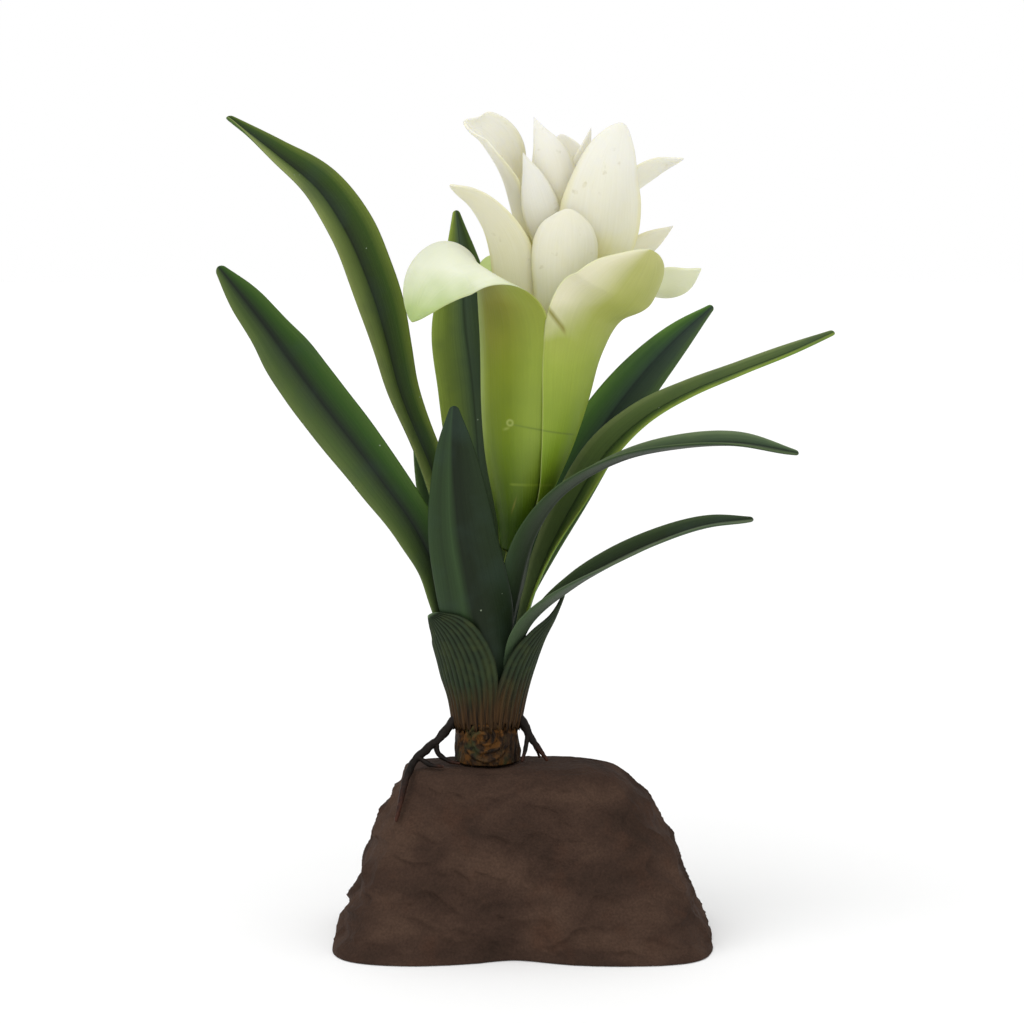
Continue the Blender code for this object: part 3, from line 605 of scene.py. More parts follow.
for name, sheath in SHEATHS.items():
    shell = blade_shell(
        sheath_rows(sheath["rows"]),
        thickness=SHEATH_THICKNESS,
        along=90,
        across=132,
        ribs=sheath["ribs"],
        rib_height=SHEATH_RIB,
        scallop=sheath["scallop"],
        fray=SHEATH_FRAY,
    )
    husk = closed_skin(f"{name}_ribbed", [shell], sheath_finish(f"{name}_green_and_rust", sheath["ribs"]))
    stand_in(husk, name)


# ---- The leaves ----------------------------------------------------------------------------------
# Nine strap leaves grow from the stub's neck, folded a little along the midrib, with small round tips.
# They are leathery: bluish black along the midrib, partly as painted shade in the fold, and olive towards
# the edges, with a satin bloom. One half of each fold is painted lit and the other painted in shade, and
# bluish-grey patches are partly bloom and partly painted sheen.

LEAF_THICKNESS = 1.0

# The share of a leaf's lower-face colour at places across it, from its left edge to its right edge: partly
# its own tone and partly painted light and shade, lighter at the edges and darker in the middle.
UNDER_TONE_AND_PAINTED_LIGHT = [(0.04, 1.25), (0.3, 1.0), (0.5, 0.8), (0.7, 1.0), (0.96, 1.25)]

# Each row is (x, y, z, half width, turn, cup). The upper face has three colours from its left edge to
# the midrib and three from there to its right edge, and the lower face has one. They are partly the
# leaf's own greens and partly painted light and shade: one half of the fold is painted lit, the other
# painted in shade.
LEAVES = {
    "leaf_left_tall": dict(
        fold=32,
        waves=[(3.0, 0.5, 0.1), (7.0, 0.15, 0.4)],
        left=[(122, 134, 76), (104, 120, 64), (68, 84, 42)],
        right=[(34, 46, 24), (50, 72, 22), (94, 110, 42)],
        under=(60, 80, 34),
        rows=[
            (-15.8, 1.0, 76, 3.4, 100, 20), (-16.4, 2.8, 93, 4.2, 82, 12),
            (-20.0, 5.5, 114, 5.2, 45, 5), (-26.0, 9.0, 137, 5.0, 30, 0),
            (-37.8, 13.0, 167, 6.4, 34, 0), (-40.6, 14.2, 178, 7.4, 32, 0),
            (-44.0, 15.8, 190, 8.6, 30, 0), (-47.6, 17.2, 200, 9.0, 28, 0),
            (-53.4, 19.0, 213, 9.2, 32, 0), (-61.6, 21.0, 225.4, 7.9, 36, 0),
            (-74.4, 22.0, 236.0, 5.6, 50, 0), (-89.7, 24.0, 247.4, 1.4, 65, 0),
        ],
    ),
    "leaf_left_low": dict(
        fold=20,
        waves=[(2.5, 0.4, 0.3), (8.0, 0.12, 0.1)],
        left=[(84, 100, 52), (64, 82, 40), (38, 50, 32)],
        right=[(30, 40, 28), (44, 72, 24), (62, 88, 34)],
        under=(50, 72, 28),
        rows=[
            (-19.6, -3.0, 76, 3.4, 60, 25), (-22.2, -3.8, 94, 6.2, 48, 12),
            (-23.4, -4.8, 103, 6.8, 38, 8), (-26.0, -5.5, 112.4, 6.2, 26, 4),
            (-31.2, -7.0, 124, 6.9, 12, 0), (-43.0, -10.0, 141.8, 7.9, 6, 0),
            (-63.4, -14.0, 169.4, 8.5, 6, 0), (-69.0, -15.0, 177.4, 8.2, 7, 0),
            (-73.6, -16.0, 184.0, 6.6, 8, 0), (-81.1, -18.0, 194, 4.9, 12, 0),
            (-88.3, -20.0, 203.4, 1.3, 15, 0),
        ],
    ),
    "leaf_front": dict(
        fold=14,
        waves=[(2.0, 0.3, 0.2)],
        left=[(56, 70, 40), (38, 50, 33), (31, 41, 30)],
        right=[(20, 28, 19), (25, 35, 22), (50, 64, 36)],
        under=(34, 48, 27),
        # Painted light on this leaf's lower face: a band of painted highlight at 0.66 and painted shade
        # around 0.55.
        tone_and_painted_light=[(0.04, 1.0), (0.3, 0.84), (0.55, 0.66), (0.66, 1.36), (0.8, 1.08), (0.96, 1.3)],
        rows=[
            (-9.6, -8.4, 76, 3.4, 175, 25), (-10.6, -11.6, 86, 9.0, 180, 38),
            (-12.4, -14.4, 97, 12.4, 182, 40), (-14.8, -17.4, 110, 11.8, 184, 20),
            (-17.4, -19.2, 125, 10.6, 186, 8), (-18.9, -20.2, 140, 8.1, 186, 3),
            (-19.6, -20.6, 153, 4.9, 186, 0), (-19.9, -20.6, 163.0, 1.1, 186, 0),
        ],
    ),
    "leaf_right_low": dict(
        fold=20,
        waves=[(2.0, 0.3, 0.6)],
        left=[(66, 80, 50), (40, 54, 30), (26, 36, 20)],
        right=[(36, 48, 30), (58, 70, 48), (84, 96, 72)],
        under=(52, 66, 44),
        rows=[
            (-4.2, -5.6, 76, 2.4, -140, 25), (-2.2, -8.4, 86, 3.8, -132, 12),
            (1.4, -12.0, 96.4, 6.4, -108, 0), (15.6, -16.0, 109.8, 8.0, -88, 0),
            (25.8, -18.0, 116.2, 7.8, -80, 0), (40.4, -20.0, 123.4, 6.2, -76, 0),
            (54.9, -21.0, 128.2, 4.0, -72, 0), (67.6, -22.0, 129.8, 0.9, -60, 0),
        ],
    ),
    "leaf_right_middle": dict(
        fold=20,
        waves=[(2.4, 0.3, 0.4)],
        left=[(106, 122, 88), (74, 92, 62), (44, 60, 40)],
        right=[(26, 38, 22), (34, 48, 28), (74, 90, 58)],
        under=(40, 54, 32),
        rows=[
            (-5.4, -1.4, 76, 3.0, -110, 30), (-4.2, -4.0, 92, 4.6, -118, 15),
            (-1.2, -6.4, 108, 7.0, -124, 5), (3.4, -8.4, 123.6, 8.0, -112, 0),
            (9.6, -9.8, 133.8, 7.6, -102, 0), (28.9, -11.0, 146.4, 6.6, -92, 0),
            (46.5, -12.0, 150.4, 6.2, -80, 0), (64.2, -12.0, 151.2, 5.4, -72, 0),
            (81.6, -12.0, 148.2, 0.9, -60, 0),
        ],
    ),
    "leaf_right_long": dict(
        fold=24,
        waves=[(3.0, 0.3, 0.5)],
        left=[(114, 128, 80), (80, 98, 52), (70, 88, 44)],
        right=[(50, 70, 30), (78, 102, 34), (118, 136, 56)],
        under=(88, 112, 36),
        rows=[
            (-2.4, 1.6, 76, 2.4, -75, 25), (-1.2, 3.2, 86, 3.2, -72, 15), (0.8, 5.2, 96, 3.2, -68, 10),
            (7.0, 7.6, 114, 5.2, -58, 4), (16.2, 9.8, 131.8, 7.2, -52, 0),
            (25.8, 11.6, 146.4, 7.4, -52, 0), (36.6, 13.4, 156.2, 6.4, -56, 0),
            (51.6, 15.4, 164.6, 5.2, -62, 0), (66.6, 16.6, 170.6, 4.4, -65, 0),
            (81.8, 17.6, 176.5, 3.2, -60, 0), (95.2, 18.6, 182.4, 1.1, -55, 0),
        ],
    ),
    "leaf_right_back": dict(
        fold=14,
        waves=[(2.0, 0.3, 0.1)],
        left=[(84, 118, 50), (58, 90, 38), (46, 66, 48)],
        right=[(40, 54, 46), (52, 68, 50), (70, 92, 50)],
        under=(52, 76, 40),
        rows=[
            (-6.8, 7.6, 76, 2.4, -30, 25), (-5.0, 9.8, 86, 2.8, -30, 18),
            (-2.2, 12.6, 96, 3.8, -26, 12), (4.6, 18.4, 116, 6.8, -14, 4),
            (13.6, 23.0, 134, 8.4, -8, 0), (24.3, 27.0, 152, 8.4, -8, 0), (36.8, 31.0, 168, 7.2, -8, 0),
            (49.4, 35.0, 181, 4.4, -8, 0), (59.4, 38.0, 189.6, 0.9, -8, 0),
        ],
    ),
    "leaf_back": dict(
        fold=14,
        waves=[(2.0, 0.3, 0.3)],
        left=[(132, 150, 64), (106, 124, 54), (76, 94, 66)],
        right=[(60, 76, 54), (44, 60, 24), (66, 86, 32)],
        under=(58, 78, 34),
        rows=[
            (-12.0, 5.4, 76, 2.8, 5, 40), (-12.2, 10.0, 86, 3.4, 5, 30), (-12.2, 14.6, 95, 5.4, 4, 18),
            (-12.4, 21.0, 119, 9.6, 4, 6), (-13.4, 26.0, 143, 10.4, 4, 2),
            (-15.2, 31.0, 164, 11.0, 4, 0), (-17.4, 35.0, 183, 10.8, 4, 0),
            (-18.5, 38.0, 201, 6.4, 4, 0), (-20.4, 40.0, 219.2, 0.9, 4, 0),
        ],
    ),
    "leaf_left_back": dict(
        fold=14,
        waves=[],
        left=[(84, 108, 60), (62, 84, 50), (50, 68, 46)],
        right=[(44, 60, 42), (54, 74, 42), (74, 98, 50)],
        under=(56, 76, 44),
        rows=[
            (-16.6, 5.4, 76, 2.2, 40, 25), (-18.4, 7.0, 86, 2.6, 34, 18), (-20.4, 9.6, 96, 3.6, 28, 12),
            (-23.0, 12.4, 110, 4.8, 22, 4), (-26.4, 17.0, 128, 5.4, 18, 0),
            (-29.4, 21.0, 145, 4.2, 15, 0), (-32.3, 24.0, 160, 0.9, 15, 0),
        ],
    ),
}


def leaf_finish(name, leaf):
    """Greens from edge to edge, partly painted light and shade, fine streaks along the leaf, a few pale
    specks, bluish-grey patches of bloom and painted sheen, and a satin sheen.
    """
    material, tree, shader, place = new_finish(name, Specular_IOR_Level=0.14)
    across, along, underside = skin_map(tree)
    drift = sums(tree, "SUBTRACT", streak(tree, across, along, 5, 3), 0.5)
    shifted = sums(tree, "MULTIPLY_ADD", drift, 0.09, across)
    # Painted shade: the midrib is darker than the halves beside it.
    midrib = 0.8 * np.minimum(leaf["left"][-1], leaf["right"][0])
    places = (0.035, 0.2, 0.47, 0.5, 0.53, 0.8, 0.965)
    # The halves' greens hold painted light on one side of the fold and painted shade on the other.
    greens_with_painted_shading = [paint(*green) for green in (*leaf["left"], midrib, *leaf["right"])]
    upper = steps(tree, shifted, list(zip(places, greens_with_painted_shading)))
    under = np.array(leaf["under"])
    # The lower face's colour scaled across the leaf, partly its own tone and partly painted light and
    # shade.
    tone_and_painted_light = leaf.get("tone_and_painted_light", UNDER_TONE_AND_PAINTED_LIGHT)
    lower = steps(tree, shifted, [(at, paint(*(shade * under))) for at, shade in tone_and_painted_light])
    colour = tint(tree, underside, upper, lower)
    veins = streak(tree, across, along, 46, 16, 3)
    colour = vary(tree, 0.5, colour, veins, 0.1)
    clouds = grain(tree, place, 60, 3)
    # Bluish-grey patches over the greens, partly the leaf's bloom and partly painted sheen.
    colour = tint(tree, steps(tree, clouds, [(0.5, 0.0), (0.75, 0.4)]), colour, paint(48, 64, 56))
    dots = node(tree, "TexVoronoi", {"Vector": place, "Scale": 260.0, "Randomness": 1.0})
    speck = sums(tree, "LESS_THAN", dots.outputs["Distance"], 0.07)
    rare = sums(tree, "GREATER_THAN", grain(tree, place, 90, 1), 0.63)
    colour = tint(tree, sums(tree, "MULTIPLY", speck, rare), colour, paint(124, 136, 114))
    tree.links.new(colour, shader.inputs["Base Color"])
    tree.links.new(steps(tree, clouds, [(0.3, 0.5), (0.7, 0.64)]), shader.inputs["Roughness"])
    relief(tree, shader, sums(tree, "MULTIPLY_ADD", grain(tree, place, 700, 2), 0.4, veins), 0.12, 0.7)
    return material


for name, leaf in LEAVES.items():
    shell = blade_shell(
        leaf["rows"],
        fold=leaf["fold"],
        thickness=LEAF_THICKNESS,
        groove=0.28,
        keel=0.35,
        waves=leaf["waves"],
    )
    stand_in(closed_skin(f"{name}_blade", [shell], leaf_finish(f"{name}_green", leaf)), name)


# ---- The flower stalk ----------------------------------------------------------------------------
# A solid lime-green stalk stands on the stub and runs up inside the flower, leaning to the right. All
# the bracts are fixed round it.

# The flower's axis leans to the right as it rises from the stub: rows of (x, y, z).
FLOWER_AXIS = np.array([[-10.6, 0, 75], [-3.0, 0, 117], [3.3, 0, 163], [7.4, 0, 193], [14.1, 0, 243]])
STALK_PROFILE = [  # rows of (height, radius)
    (74.6, 0.2), (74.8, 2.5), (100, 2.3), (118, 1.9), (130, 2.2), (150, 2.8), (170, 3.4), (188, 3.4),
    (200, 2.6), (208, 1.6), (213.6, 0.8), (214, 0.1),
]


def stalk_finish():
    """Lime green in fine upright streaks, paler towards the flower."""
    material, tree, shader, place = new_finish("stalk_lime", Specular_IOR_Level=0.3, Roughness=0.5)
    share = climb(tree, node(tree, "SeparateXYZ", {0: place}).outputs[2], 0.075, 0.21)
    limes = [(0.0, paint(70, 92, 24)), (0.5, paint(140, 156, 70)), (1.0, paint(220, 216, 180))]
    veins = grain(tree, place, 700, 3, stretch=(1, 1, 0.1))
    colour = vary(tree, 0.4, steps(tree, share, limes), veins, 0.15)
    tree.links.new(colour, shader.inputs["Base Color"])
    relief(tree, shader, veins, 0.15, 0.6)
    return material


stalk_rings = turned_rings(STALK_PROFILE, FLOWER_AXIS, around=40, fine=8)
stalk = closed_skin("flower_stalk_stem", [even_shell(stalk_rings)], stalk_finish())
stand_in(stalk, "flower_stalk")


# ---- The outer bracts ----------------------------------------------------------------------------
# Four thin soft bracts grow from the stalk, close into a trumpet round it and flare out at the top.
# They are lime green below and fade to greenish white on the flares, and light shines through them.

BRACT_THICKNESS = 0.8

# The trumpet's radius round the flower's axis at each height.
TRUMPET = [(118, 3.4), (124, 4.6), (133, 7.4), (148, 12.1), (163, 15.2), (178, 17.4)]

# An outer bract starts on the trumpet, between its two edges, whose azimuths in degrees are given for
# each height of it, and lies this far outside it. It goes on with the rows of its flared end: (x, y, z,
# half width, turn, cup, roll of the left edge, roll of the right edge). Round is the bluntness of its
# end. The colours of its outer face run from its base to its rim, and so do those of the inner face of
# its flare. Cream is the share of a cream patch on the flare. A painted highlight, a paler green strip,
# may be given by its share at places across the bract.
OUTER_BRACTS = {
    "bract_outer_left": dict(
        edges=([160] * 6, [330, 330, 322, 298, 287, 281]),
        outside=0,
        relax=19,
        round=8,
        outer=[(56, 82, 4), (94, 116, 6), (114, 128, 12), (132, 134, 34), (164, 164, 84)],
        inner=[(104, 138, 56), (170, 188, 124), (216, 220, 196)],
        painted_highlight=[(0.16, 0.4), (0.36, 0.0), (0.56, 0.0), (0.74, 0.75)],
        rows=[
            (-9.4, -13.4, 193.4, 19.4, 121, 50, -10, 0), (-13.4, -16.0, 204.2, 18.2, 90, 20, -44, 0),
            (-20.2, -18.8, 205.8, 16.3, 56, -16, -26, 0), (-27.2, -21.0, 199.4, 13.6, 43, -20, -8, 0),
            (-32.0, -22.8, 187.4, 6.4, 40, -16, 0, 0),
        ],
    ),
    "bract_outer_right": dict(
        edges=([320, 318, 310, 290, 279, 271], [363] * 6),
        outside=1.0,
        relax=8,
        round=4,
        outer=[(76, 102, 8), (114, 140, 28), (146, 162, 60), (162, 168, 82), (186, 186, 120)],
        inner=[(150, 172, 96), (190, 204, 140), (214, 218, 186)],
        cream=0.85,
        rows=[
            (22.2, -14.0, 187.6, 18.6, -132, 40, 0, -14), (29.0, -18.6, 194.4, 20.6, -137, 38, 0, -26),
            (34.4, -21.8, 203.2, 18.8, -142, 34, 0, -12), (36.8, -23.8, 208.4, 13.0, -145, 24, 0, 0),
        ],
    ),
    "bract_outer_back_right": dict(
        edges=([-5] * 6, [79] * 6),
        outside=0,
        relax=8,
        round=4,
        outer=[(84, 108, 14), (128, 148, 44), (164, 178, 90), (222, 226, 182), (236, 238, 212)],
        inner=[(170, 190, 110), (200, 210, 160), (222, 224, 200)],
        rows=[
            (24.6, 14.0, 187, 12.4, -60, 26, 0, 0), (32.6, 17.0, 192.8, 13.6, -86, 12, 0, 0),
            (42.4, 16.0, 196.8, 11.4, -124, 2, 0, 0), (49.4, 14.4, 199.2, 9.2, -134, 0, 0, 0),
            (54.2, 13.0, 202.0, 2.2, -134, 0, 0, 0),
        ],
    ),
    "bract_outer_back_left": dict(
        edges=([72] * 6, [162] * 6),
        outside=0.6,
        relax=8,
        round=8,
        outer=[(84, 108, 14), (120, 142, 40), (140, 160, 60), (160, 176, 88), (176, 190, 110)],
        inner=[(120, 150, 50), (146, 172, 80), (178, 194, 122)],
        rows=[
            (-2.0, 19.4, 188, 14.2, 32, 30, 50, 0), (-5.4, 24.6, 196.4, 12.8, 34, 8, 40, 0),
            (-10.0, 29.4, 200.4, 9.8, 36, -12, 10, 0), (-14.2, 34.0, 197, 3.0, 38, -14, 0, 0),
        ],
    ),
}


def trumpet_rows(edges, outside):
    """Blade rows up the trumpet, from one azimuth to the other at each of its heights, and lying that
    far outside its radius."""
    height, radius = np.array(TRUMPET, float).T
    radius = radius + outside
    first, last = np.array(edges, float)
    azimuth, spread = (first + last) / 2, (last - first) / 2
    a = np.radians(azimuth)
    x = np.interp(height, FLOWER_AXIS[:, 2], FLOWER_AXIS[:, 0]) + radius * np.cos(a)
    half_width, turn, roll = radius * np.radians(spread), (azimuth + 90) % 360 - 180, 0 * height
    return np.stack([x, radius * np.sin(a), height, half_width, turn, spread, roll, roll], axis=1)


def crease(tree, place, start, end, width):
    """1 on a thin straight line between two points (x, z) in millimetres as seen from the front, and 0
    further from it than the width."""
    x, _, z = node(tree, "SeparateXYZ", {0: place}).outputs
    slope = (end[1] - start[1]) / (end[0] - start[0])
    rise = sums(tree, "MULTIPLY_ADD", x, -slope, z)
    off = sums(tree, "ABSOLUTE", sums(tree, "SUBTRACT", rise, (start[1] - slope * start[0]) * MM))
    line = climb(tree, off, width * MM, 0.0)
    run = climb(tree, x, start[0] * MM, (start[0] + 1) * MM)
    stop = climb(tree, x, end[0] * MM, (end[0] - 1) * MM)
    return sums(tree, "MULTIPLY", line, sums(tree, "MULTIPLY", run, stop))


def knot(tree, place, middle, radius, width):
    """1 on a thin ring round a point (x, z) in millimetres as seen from the front, and 0 off it."""
    x, _, z = node(tree, "SeparateXYZ", {0: place}).outputs
    aside = sums(tree, "POWER", sums(tree, "SUBTRACT", x, middle[0] * MM), 2)
    away = sums(tree, "POWER", sums(tree, "SUBTRACT", z, middle[1] * MM), 2)
    off = sums(tree, "SUBTRACT", sums(tree, "SQRT", sums(tree, "ADD", aside, away)), radius * MM)
    return climb(tree, sums(tree, "ABSOLUTE", off), width * MM, 0.0)


# Lines on the trumpet, on its front and its back: the two ends (x, z), width and colour. The first is
# painted shadow under the edge of the left bract, where it overlaps the right one; the others are small
# marks.
PAINTED_SHADOW_AND_MARKS = [
    # Painted shadow under the edge of the left bract, where it overlaps the right one.
    ((5.6, 193.6), (13.0, 184.0), 1.8, (134, 130, 58)),
    ((-5.2, 157.4), (15.6, 153.4), 0.45, (98, 118, 36)),
    ((-6.0, 155.2), (-3.4, 156.0), 0.7, (134, 148, 62)),
    ((-4.0, 138.8), (9.6, 138.2), 0.6, (112, 132, 36)),
    ((-3.4, 129.4), (-1.4, 135.4), 1.2, (120, 118, 46)),
]
KNOT = ((-3.6, 157.4), 0.8, 0.55, (144, 156, 76))  # its middle, radius, width and colour


def outer_bract_finish(name, bract):
    """Lime below, creamy or greenish on the flare, with soft veins, marks, a line of painted shadow, a
    strip of painted highlight where one is given, and a thin pale rim. Light passes through."""
    material, tree, shader, place = new_finish(
        name,
        Specular_IOR_Level=0.3,
        Roughness=0.5,
        Subsurface_Weight=0.25,
        Subsurface_Radius=(1.0, 0.9, 0.35),
        Subsurface_Scale=1.5 * MM,
    )
    across, along, underside = skin_map(tree)
    height = node(tree, "SeparateXYZ", {0: place}).outputs[2]
    clouds = grain(tree, place, 45, 3)
    wander = sums(tree, "MULTIPLY_ADD", sums(tree, "SUBTRACT", clouds, 0.5), 0.02, height)
    share = climb(tree, wander, 0.128, 0.21)
    outer_colours = [paint(*colour) for colour in bract["outer"]]
    outer = steps(tree, share, list(zip((0.0, 0.25, 0.55, 0.75, 1.0), outer_colours)))
    if "cream" in bract:
        high = climb(tree, wander, 0.181, 0.193, top=bract["cream"])
        patch = sums(tree, "MULTIPLY", high, climb(tree, across, 0.58, 0.9))
        outer = tint(tree, patch, outer, paint(222, 218, 192))
    # Painted highlight: a paler green strip at places across the bract, above its base.
    if "painted_highlight" in bract:
        above_base = steps(tree, share, [(0.05, 0.0), (0.3, 1.0)])
        painted_highlight_share = sums(tree, "MULTIPLY", steps(tree, across, bract["painted_highlight"]), above_base)
        outer = tint(tree, painted_highlight_share, outer, paint(150, 170, 72))
    # Thin lines of painted shadow and of marks.
    for start, end, width, shade in PAINTED_SHADOW_AND_MARKS:
        outer = tint(tree, crease(tree, place, start, end, width), outer, paint(*shade))
    outer = tint(tree, knot(tree, place, *KNOT[:3]), outer, paint(*KNOT[3]))
    inner_colours = [paint(*colour) for colour in bract["inner"]]
    inner = steps(tree, share, list(zip((0.62, 0.76, 0.92), inner_colours)))
    colour = tint(tree, underside, inner, outer)
    veins = streak(tree, across, along, 46, 10, 3)
    colour = vary(tree, 0.1, colour, veins, 0.15)
    colour = vary(tree, 0.3, colour, clouds, 0.1)
    rim = sums(tree, "ABSOLUTE", sums(tree, "SUBTRACT", across, 0.5))
    colour = tint(tree, steps(tree, rim, [(0.48, 0.0), (0.495, 0.35)]), colour, paint(190, 196, 130))
    tree.links.new(colour, shader.inputs["Base Color"])
    relief(tree, shader, sums(tree, "MULTIPLY_ADD", veins, 0.3, clouds), 0.8, 0.5)
    return material


for name, bract in OUTER_BRACTS.items():
    shell = blade_shell(
        np.concatenate([trumpet_rows(bract["edges"], bract["outside"]), bract["rows"]]),
        thickness=BRACT_THICKNESS,
        blunt=bract["round"],
        across=72,
        relax=bract["relax"],
    )
    petal = closed_skin(f"{name}_petal", [shell], outer_bract_finish(f"{name}_lime", bract))
    stand_in(petal, name)


# ---- The inner bracts ----------------------------------------------------------------------------
# Twelve smaller bracts stand inside the trumpet in three whorls. They are creamy white and yellow at the
# base, with a painted warm glow in the creases where they meet, cupped round the stalk, and their tips
# turn outwards.

# Each row is (x, y, z, half width, turn, cup). Round is the bluntness of the tip.
INNER_BRACTS = {
    "bract_middle_left": dict(
        round=6,
        rows=[
            (-1.2, -4.6, 166, 3.6, 165, 32), (-1.8, -7.4, 178, 5.4, 168, 32),
            (-2.0, -9.0, 195, 7.2, 168, 28), (-4.2, -10.2, 208.5, 6.9, 158, 24),
            (-8.6, -11.0, 216.9, 5.9, 142, 20), (-14.2, -11.8, 222.8, 5.2, 128, 15),
            (-19.0, -12.2, 225.6, 4.4, 118, 10), (-21.2, -12.4, 226.9, 2.8, 115, 8),
        ],
    ),
    "bract_middle_front": dict(
        round=8,
        rows=[
            (6.8, -8.0, 168, 3.4, 182, 38), (9.2, -12.0, 180, 6.4, 182, 42),
            (11.6, -15.0, 194, 9.2, 182, 46), (12.4, -16.2, 205, 10.8, 182, 46),
            (13.0, -15.6, 212.8, 10.2, 182, 40), (13.4, -14.6, 217.2, 8.4, 182, 34),
            (13.6, -13.8, 220.0, 5.6, 182, 30),
        ],
    ),
    "bract_middle_right": dict(
        round=3,
        rows=[
            (15.4, 2.2, 180, 3.6, -95, 38), (21.4, 4.0, 191, 6.4, -102, 36),
            (29.2, 6.0, 200.6, 7.6, -114, 30), (36.0, 7.6, 207.4, 7.2, -126, 24),
            (41.4, 8.6, 211.8, 4.6, -132, 14), (45.4, 9.2, 214.8, 0.9, -134, 8),
        ],
    ),
    "bract_middle_back": dict(
        round=4,
        rows=[
            (3.0, 8.2, 170, 4.6, 15, 38), (2.4, 11.6, 184, 7.6, 18, 40), (1.0, 14.6, 197, 9.0, 22, 34),
            (-2.0, 18.6, 208, 8.2, 26, 22), (-6.5, 23.5, 215, 6.0, 32, 10),
            (-12.5, 28.5, 217.5, 1.2, 36, 0),
        ],
    ),
    "bract_upper_right_front": dict(
        round=6,
        rows=[
            (12.0, -5.2, 190, 4.0, -150, 40), (18.0, -7.2, 200, 9.4, -158, 42),
            (23.2, -8.6, 211.5, 13.2, -165, 40), (24.2, -9.2, 220.6, 13.2, -167, 38),
            (25.6, -9.0, 231.5, 10.0, -168, 32), (27.6, -8.4, 239.4, 7.4, -168, 26),
            (29.4, -7.6, 245.0, 4.6, -168, 18),
        ],
    ),
    "bract_upper_right": dict(
        round=3,
        rows=[
            (13.6, 1.0, 194, 3.8, -85, 38), (21.4, 1.0, 206.6, 7.2, -92, 36),
            (27.6, 1.0, 217.8, 8.6, -102, 34), (33.2, 1.2, 226.4, 8.0, -114, 28),
            (39.8, 2.0, 231.8, 6.0, -124, 14), (48.2, 3.0, 234.8, 1.4, -130, 5),
        ],
    ),
    "bract_upper_left": dict(
        round=7,
        fold=30,
        rows=[
            (-0.4, 2.2, 190, 3.6, 96, 20), (-0.8, 3.0, 206, 5.0, 100, 30),
            (-2.1, 2.8, 216, 6.0, 98, 36), (-3.7, 2.0, 222.5, 7.0, 88, 40),
            (-5.4, 0.6, 228.6, 9.0, 74, 40), (-8.6, -2.0, 235.8, 10.8, 58, 38),
            (-12.2, -4.4, 240.8, 10.0, 52, 34), (-15.4, -6.2, 243.4, 7.6, 50, 28),
            (-17.2, -7.2, 245.6, 4.2, 48, 20),
        ],
    ),
    "bract_upper_left_front": dict(
        round=3,
        rows=[
            (6.6, -4.8, 194, 3.6, 175, 38), (8.4, -6.6, 211, 6.0, 182, 40),
            (5.4, -7.4, 220.6, 6.2, 182, 38), (3.0, -7.2, 229, 4.2, 180, 30),
            (0.2, -6.8, 236.4, 0.9, 178, 20),
        ],
    ),
    "bract_upper_back": dict(
        round=3,
        rows=[
            (7.0, 6.8, 192, 3.6, 5, 40), (8.0, 10.2, 205, 7.0, 5, 42), (9.4, 12.6, 218, 8.4, 2, 36),
            (11.0, 15.0, 230, 6.5, 0, 26), (14.0, 18.0, 240, 1.0, -5, 12),
        ],
    ),
    "bract_inner_left": dict(
        round=3,
        rows=[
            (9.6, -3.0, 206, 2.6, 185, 36), (10.6, -3.6, 218, 5.8, 185, 42),
            (9.8, -3.8, 229, 7.4, 185, 40), (7.6, -3.6, 237.5, 5.6, 185, 34),
            (5.2, -3.4, 242.6, 3.0, 185, 26), (3.4, -3.2, 246.8, 0.8, 185, 20),
        ],
    ),
    "bract_inner_right": dict(
        round=3,
        rows=[
            (13.2, 1.8, 208, 2.4, -110, 36), (16.4, 2.4, 221, 5.4, -125, 44),
            (18.0, 2.4, 232, 5.0, -135, 40), (19.2, 2.2, 238.5, 2.6, -135, 30),
            (20.4, 2.0, 243.8, 0.8, -135, 20),
        ],
    ),
    "bract_inner_back": dict(
        round=6,
        rows=[
            (9.6, 2.8, 208, 2.6, 10, 36), (11.0, 4.4, 220, 6.4, 10, 44), (12.0, 5.2, 231, 7.8, 10, 40),
            (12.0, 5.4, 238, 6.4, 10, 30), (11.6, 5.6, 242, 3.0, 10, 20),
        ],
    ),
}


# The colours of a bract of each whorl: its base, also used for the painted glow in its creases, its middle,
# and its tip.
WHORLS = {
    "middle": [(218, 208, 118), (218, 213, 180), (221, 217, 196)],
    "upper": [(222, 212, 128), (222, 218, 195), (226, 224, 212)],
    "inner": [(227, 217, 146), (228, 222, 198), (232, 229, 216)],
}


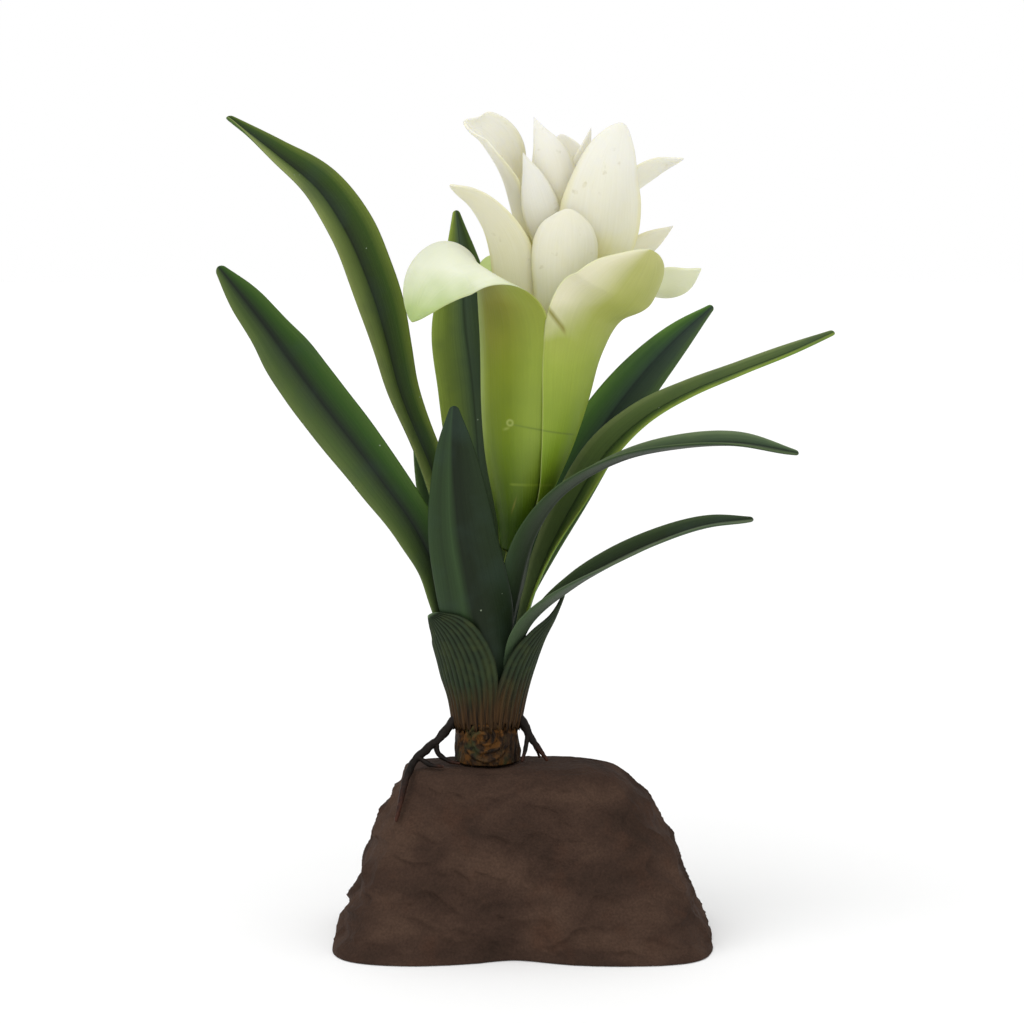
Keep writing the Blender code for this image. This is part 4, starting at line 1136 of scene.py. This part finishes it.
def inner_bract_finish(name, base, middle, tip):
    """Creamy white with fine veins and flecks, yellow low down, and a thin yellow line along its lower
    edges painted as the warm glow where bracts meet.
    """
    material, tree, shader, place = new_finish(
        name,
        Specular_IOR_Level=0.3,
        Roughness=0.5,
        Subsurface_Weight=0.55,
        Subsurface_Radius=(1.0, 0.88, 0.5),
        Subsurface_Scale=4.0 * MM,
    )
    across, along, _ = skin_map(tree)
    clouds = grain(tree, place, 70, 3)
    share = sums(tree, "MULTIPLY_ADD", clouds, 0.3, along)
    colour = steps(tree, share, [(0.35, base), (0.62, middle), (1.0, tip)])
    rim = sums(tree, "ABSOLUTE", sums(tree, "SUBTRACT", across, 0.5))
    # Painted glow: the yellow base colour along the lower edges, where the bracts overlap in the creases.
    edge = steps(tree, rim, [(0.4, 0.0), (0.49, 0.6)])
    below = steps(tree, along, [(0.5, 1.0), (0.95, 0.2)])
    colour = tint(tree, sums(tree, "MULTIPLY", edge, below), colour, base)
    veins = streak(tree, across, along, 40, 10, 3)
    colour = vary(tree, 0.15, colour, veins, 0.15)
    flecks = steps(tree, grain(tree, place, 260, 3), [(0.66, 0.0), (0.76, 0.3)])
    colour = tint(tree, flecks, colour, paint(150, 136, 70))
    tree.links.new(colour, shader.inputs["Base Color"])
    relief(tree, shader, sums(tree, "MULTIPLY_ADD", veins, 0.4, clouds), 0.5, 0.5)
    return material


whorl_creams = {
    whorl: inner_bract_finish(f"inner_bract_cream_{whorl}", *[paint(*colour) for colour in colours])
    for whorl, colours in WHORLS.items()
}
for name, bract in INNER_BRACTS.items():
    shell = blade_shell(
        bract["rows"],
        fold=bract.get("fold", 0),
        thickness=BRACT_THICKNESS,
        blunt=bract["round"],
        along=110,
        across=48,
    )
    cream = whorl_creams[name.split("_")[1]]
    stand_in(closed_skin(f"{name}_petal", [shell], cream), name)


# ---- The stage -----------------------------------------------------------------------------------
# A plain pale floor and soft white light from all round, stronger from above on the left. The camera
# stands in front, a little above the rock, and looks slightly down.

CAMERA_TARGET = np.array([-0.003, 0.0, 0.1295])
CAMERA_DISTANCE = 0.853
CAMERA_ELEVATION = np.radians(6.5)

floor_white = new_finish(
    "floor_white",
    Base_Color=(0.95, 0.95, 0.95, 1),
    Roughness=0.9,
    Specular_IOR_Level=0.1,
    Emission_Color=(1, 1, 1, 1),
    Emission_Strength=0.06,
)[0]
floor_mesh = bpy.data.meshes.new("floor")
floor_mesh.from_pydata([(-6, -6, 0), (6, -6, 0), (6, 6, 0), (-6, 6, 0)], [], [(0, 1, 2, 3)])
floor_mesh.materials.append(floor_white)
floor = bpy.data.objects.new("floor", floor_mesh)
bpy.context.scene.collection.objects.link(floor)


def add_sun(name, strength, softness, towards):
    """A distant soft light that shines in that direction: softness is its width in degrees."""
    light = bpy.data.lights.new(name, "SUN")
    light.energy = strength
    light.angle = np.radians(softness)
    lamp = bpy.data.objects.new(name, light)
    lamp.rotation_euler = Vector(towards).to_track_quat("-Z", "Y").to_euler()
    bpy.context.scene.collection.objects.link(lamp)


add_sun("key_light", 1.3, 60, (0.45, 0.6, -0.9))
add_sun("fill_light", 0.62, 80, (-0.6, 0.7, -0.4))

world = bpy.data.worlds.new("studio")
world.use_nodes = True
studio = world.node_tree
background = studio.nodes["Background"]
seen = node(studio, "LightPath").outputs["Is Camera Ray"]
strength = sums(studio, "MULTIPLY_ADD", seen, 0.32, 0.68)  # 0.68 as light, and white where it is seen
studio.links.new(strength, background.inputs["Strength"])
background.inputs["Color"].default_value = (1, 1, 1, 1)
bpy.context.scene.world = world

camera = bpy.data.cameras.new("camera")
camera.lens = 100
camera.sensor_width = 36
camera.clip_start, camera.clip_end = 0.01, 20
camera_object = bpy.data.objects.new("camera", camera)
back = np.array([0, -np.cos(CAMERA_ELEVATION), np.sin(CAMERA_ELEVATION)])
camera_object.location = CAMERA_TARGET + back * CAMERA_DISTANCE
camera_object.rotation_euler = Vector(-back).to_track_quat("-Z", "Y").to_euler()
bpy.context.scene.collection.objects.link(camera_object)
bpy.context.scene.camera = camera_object
bpy.context.scene.view_settings.view_transform = "Standard"
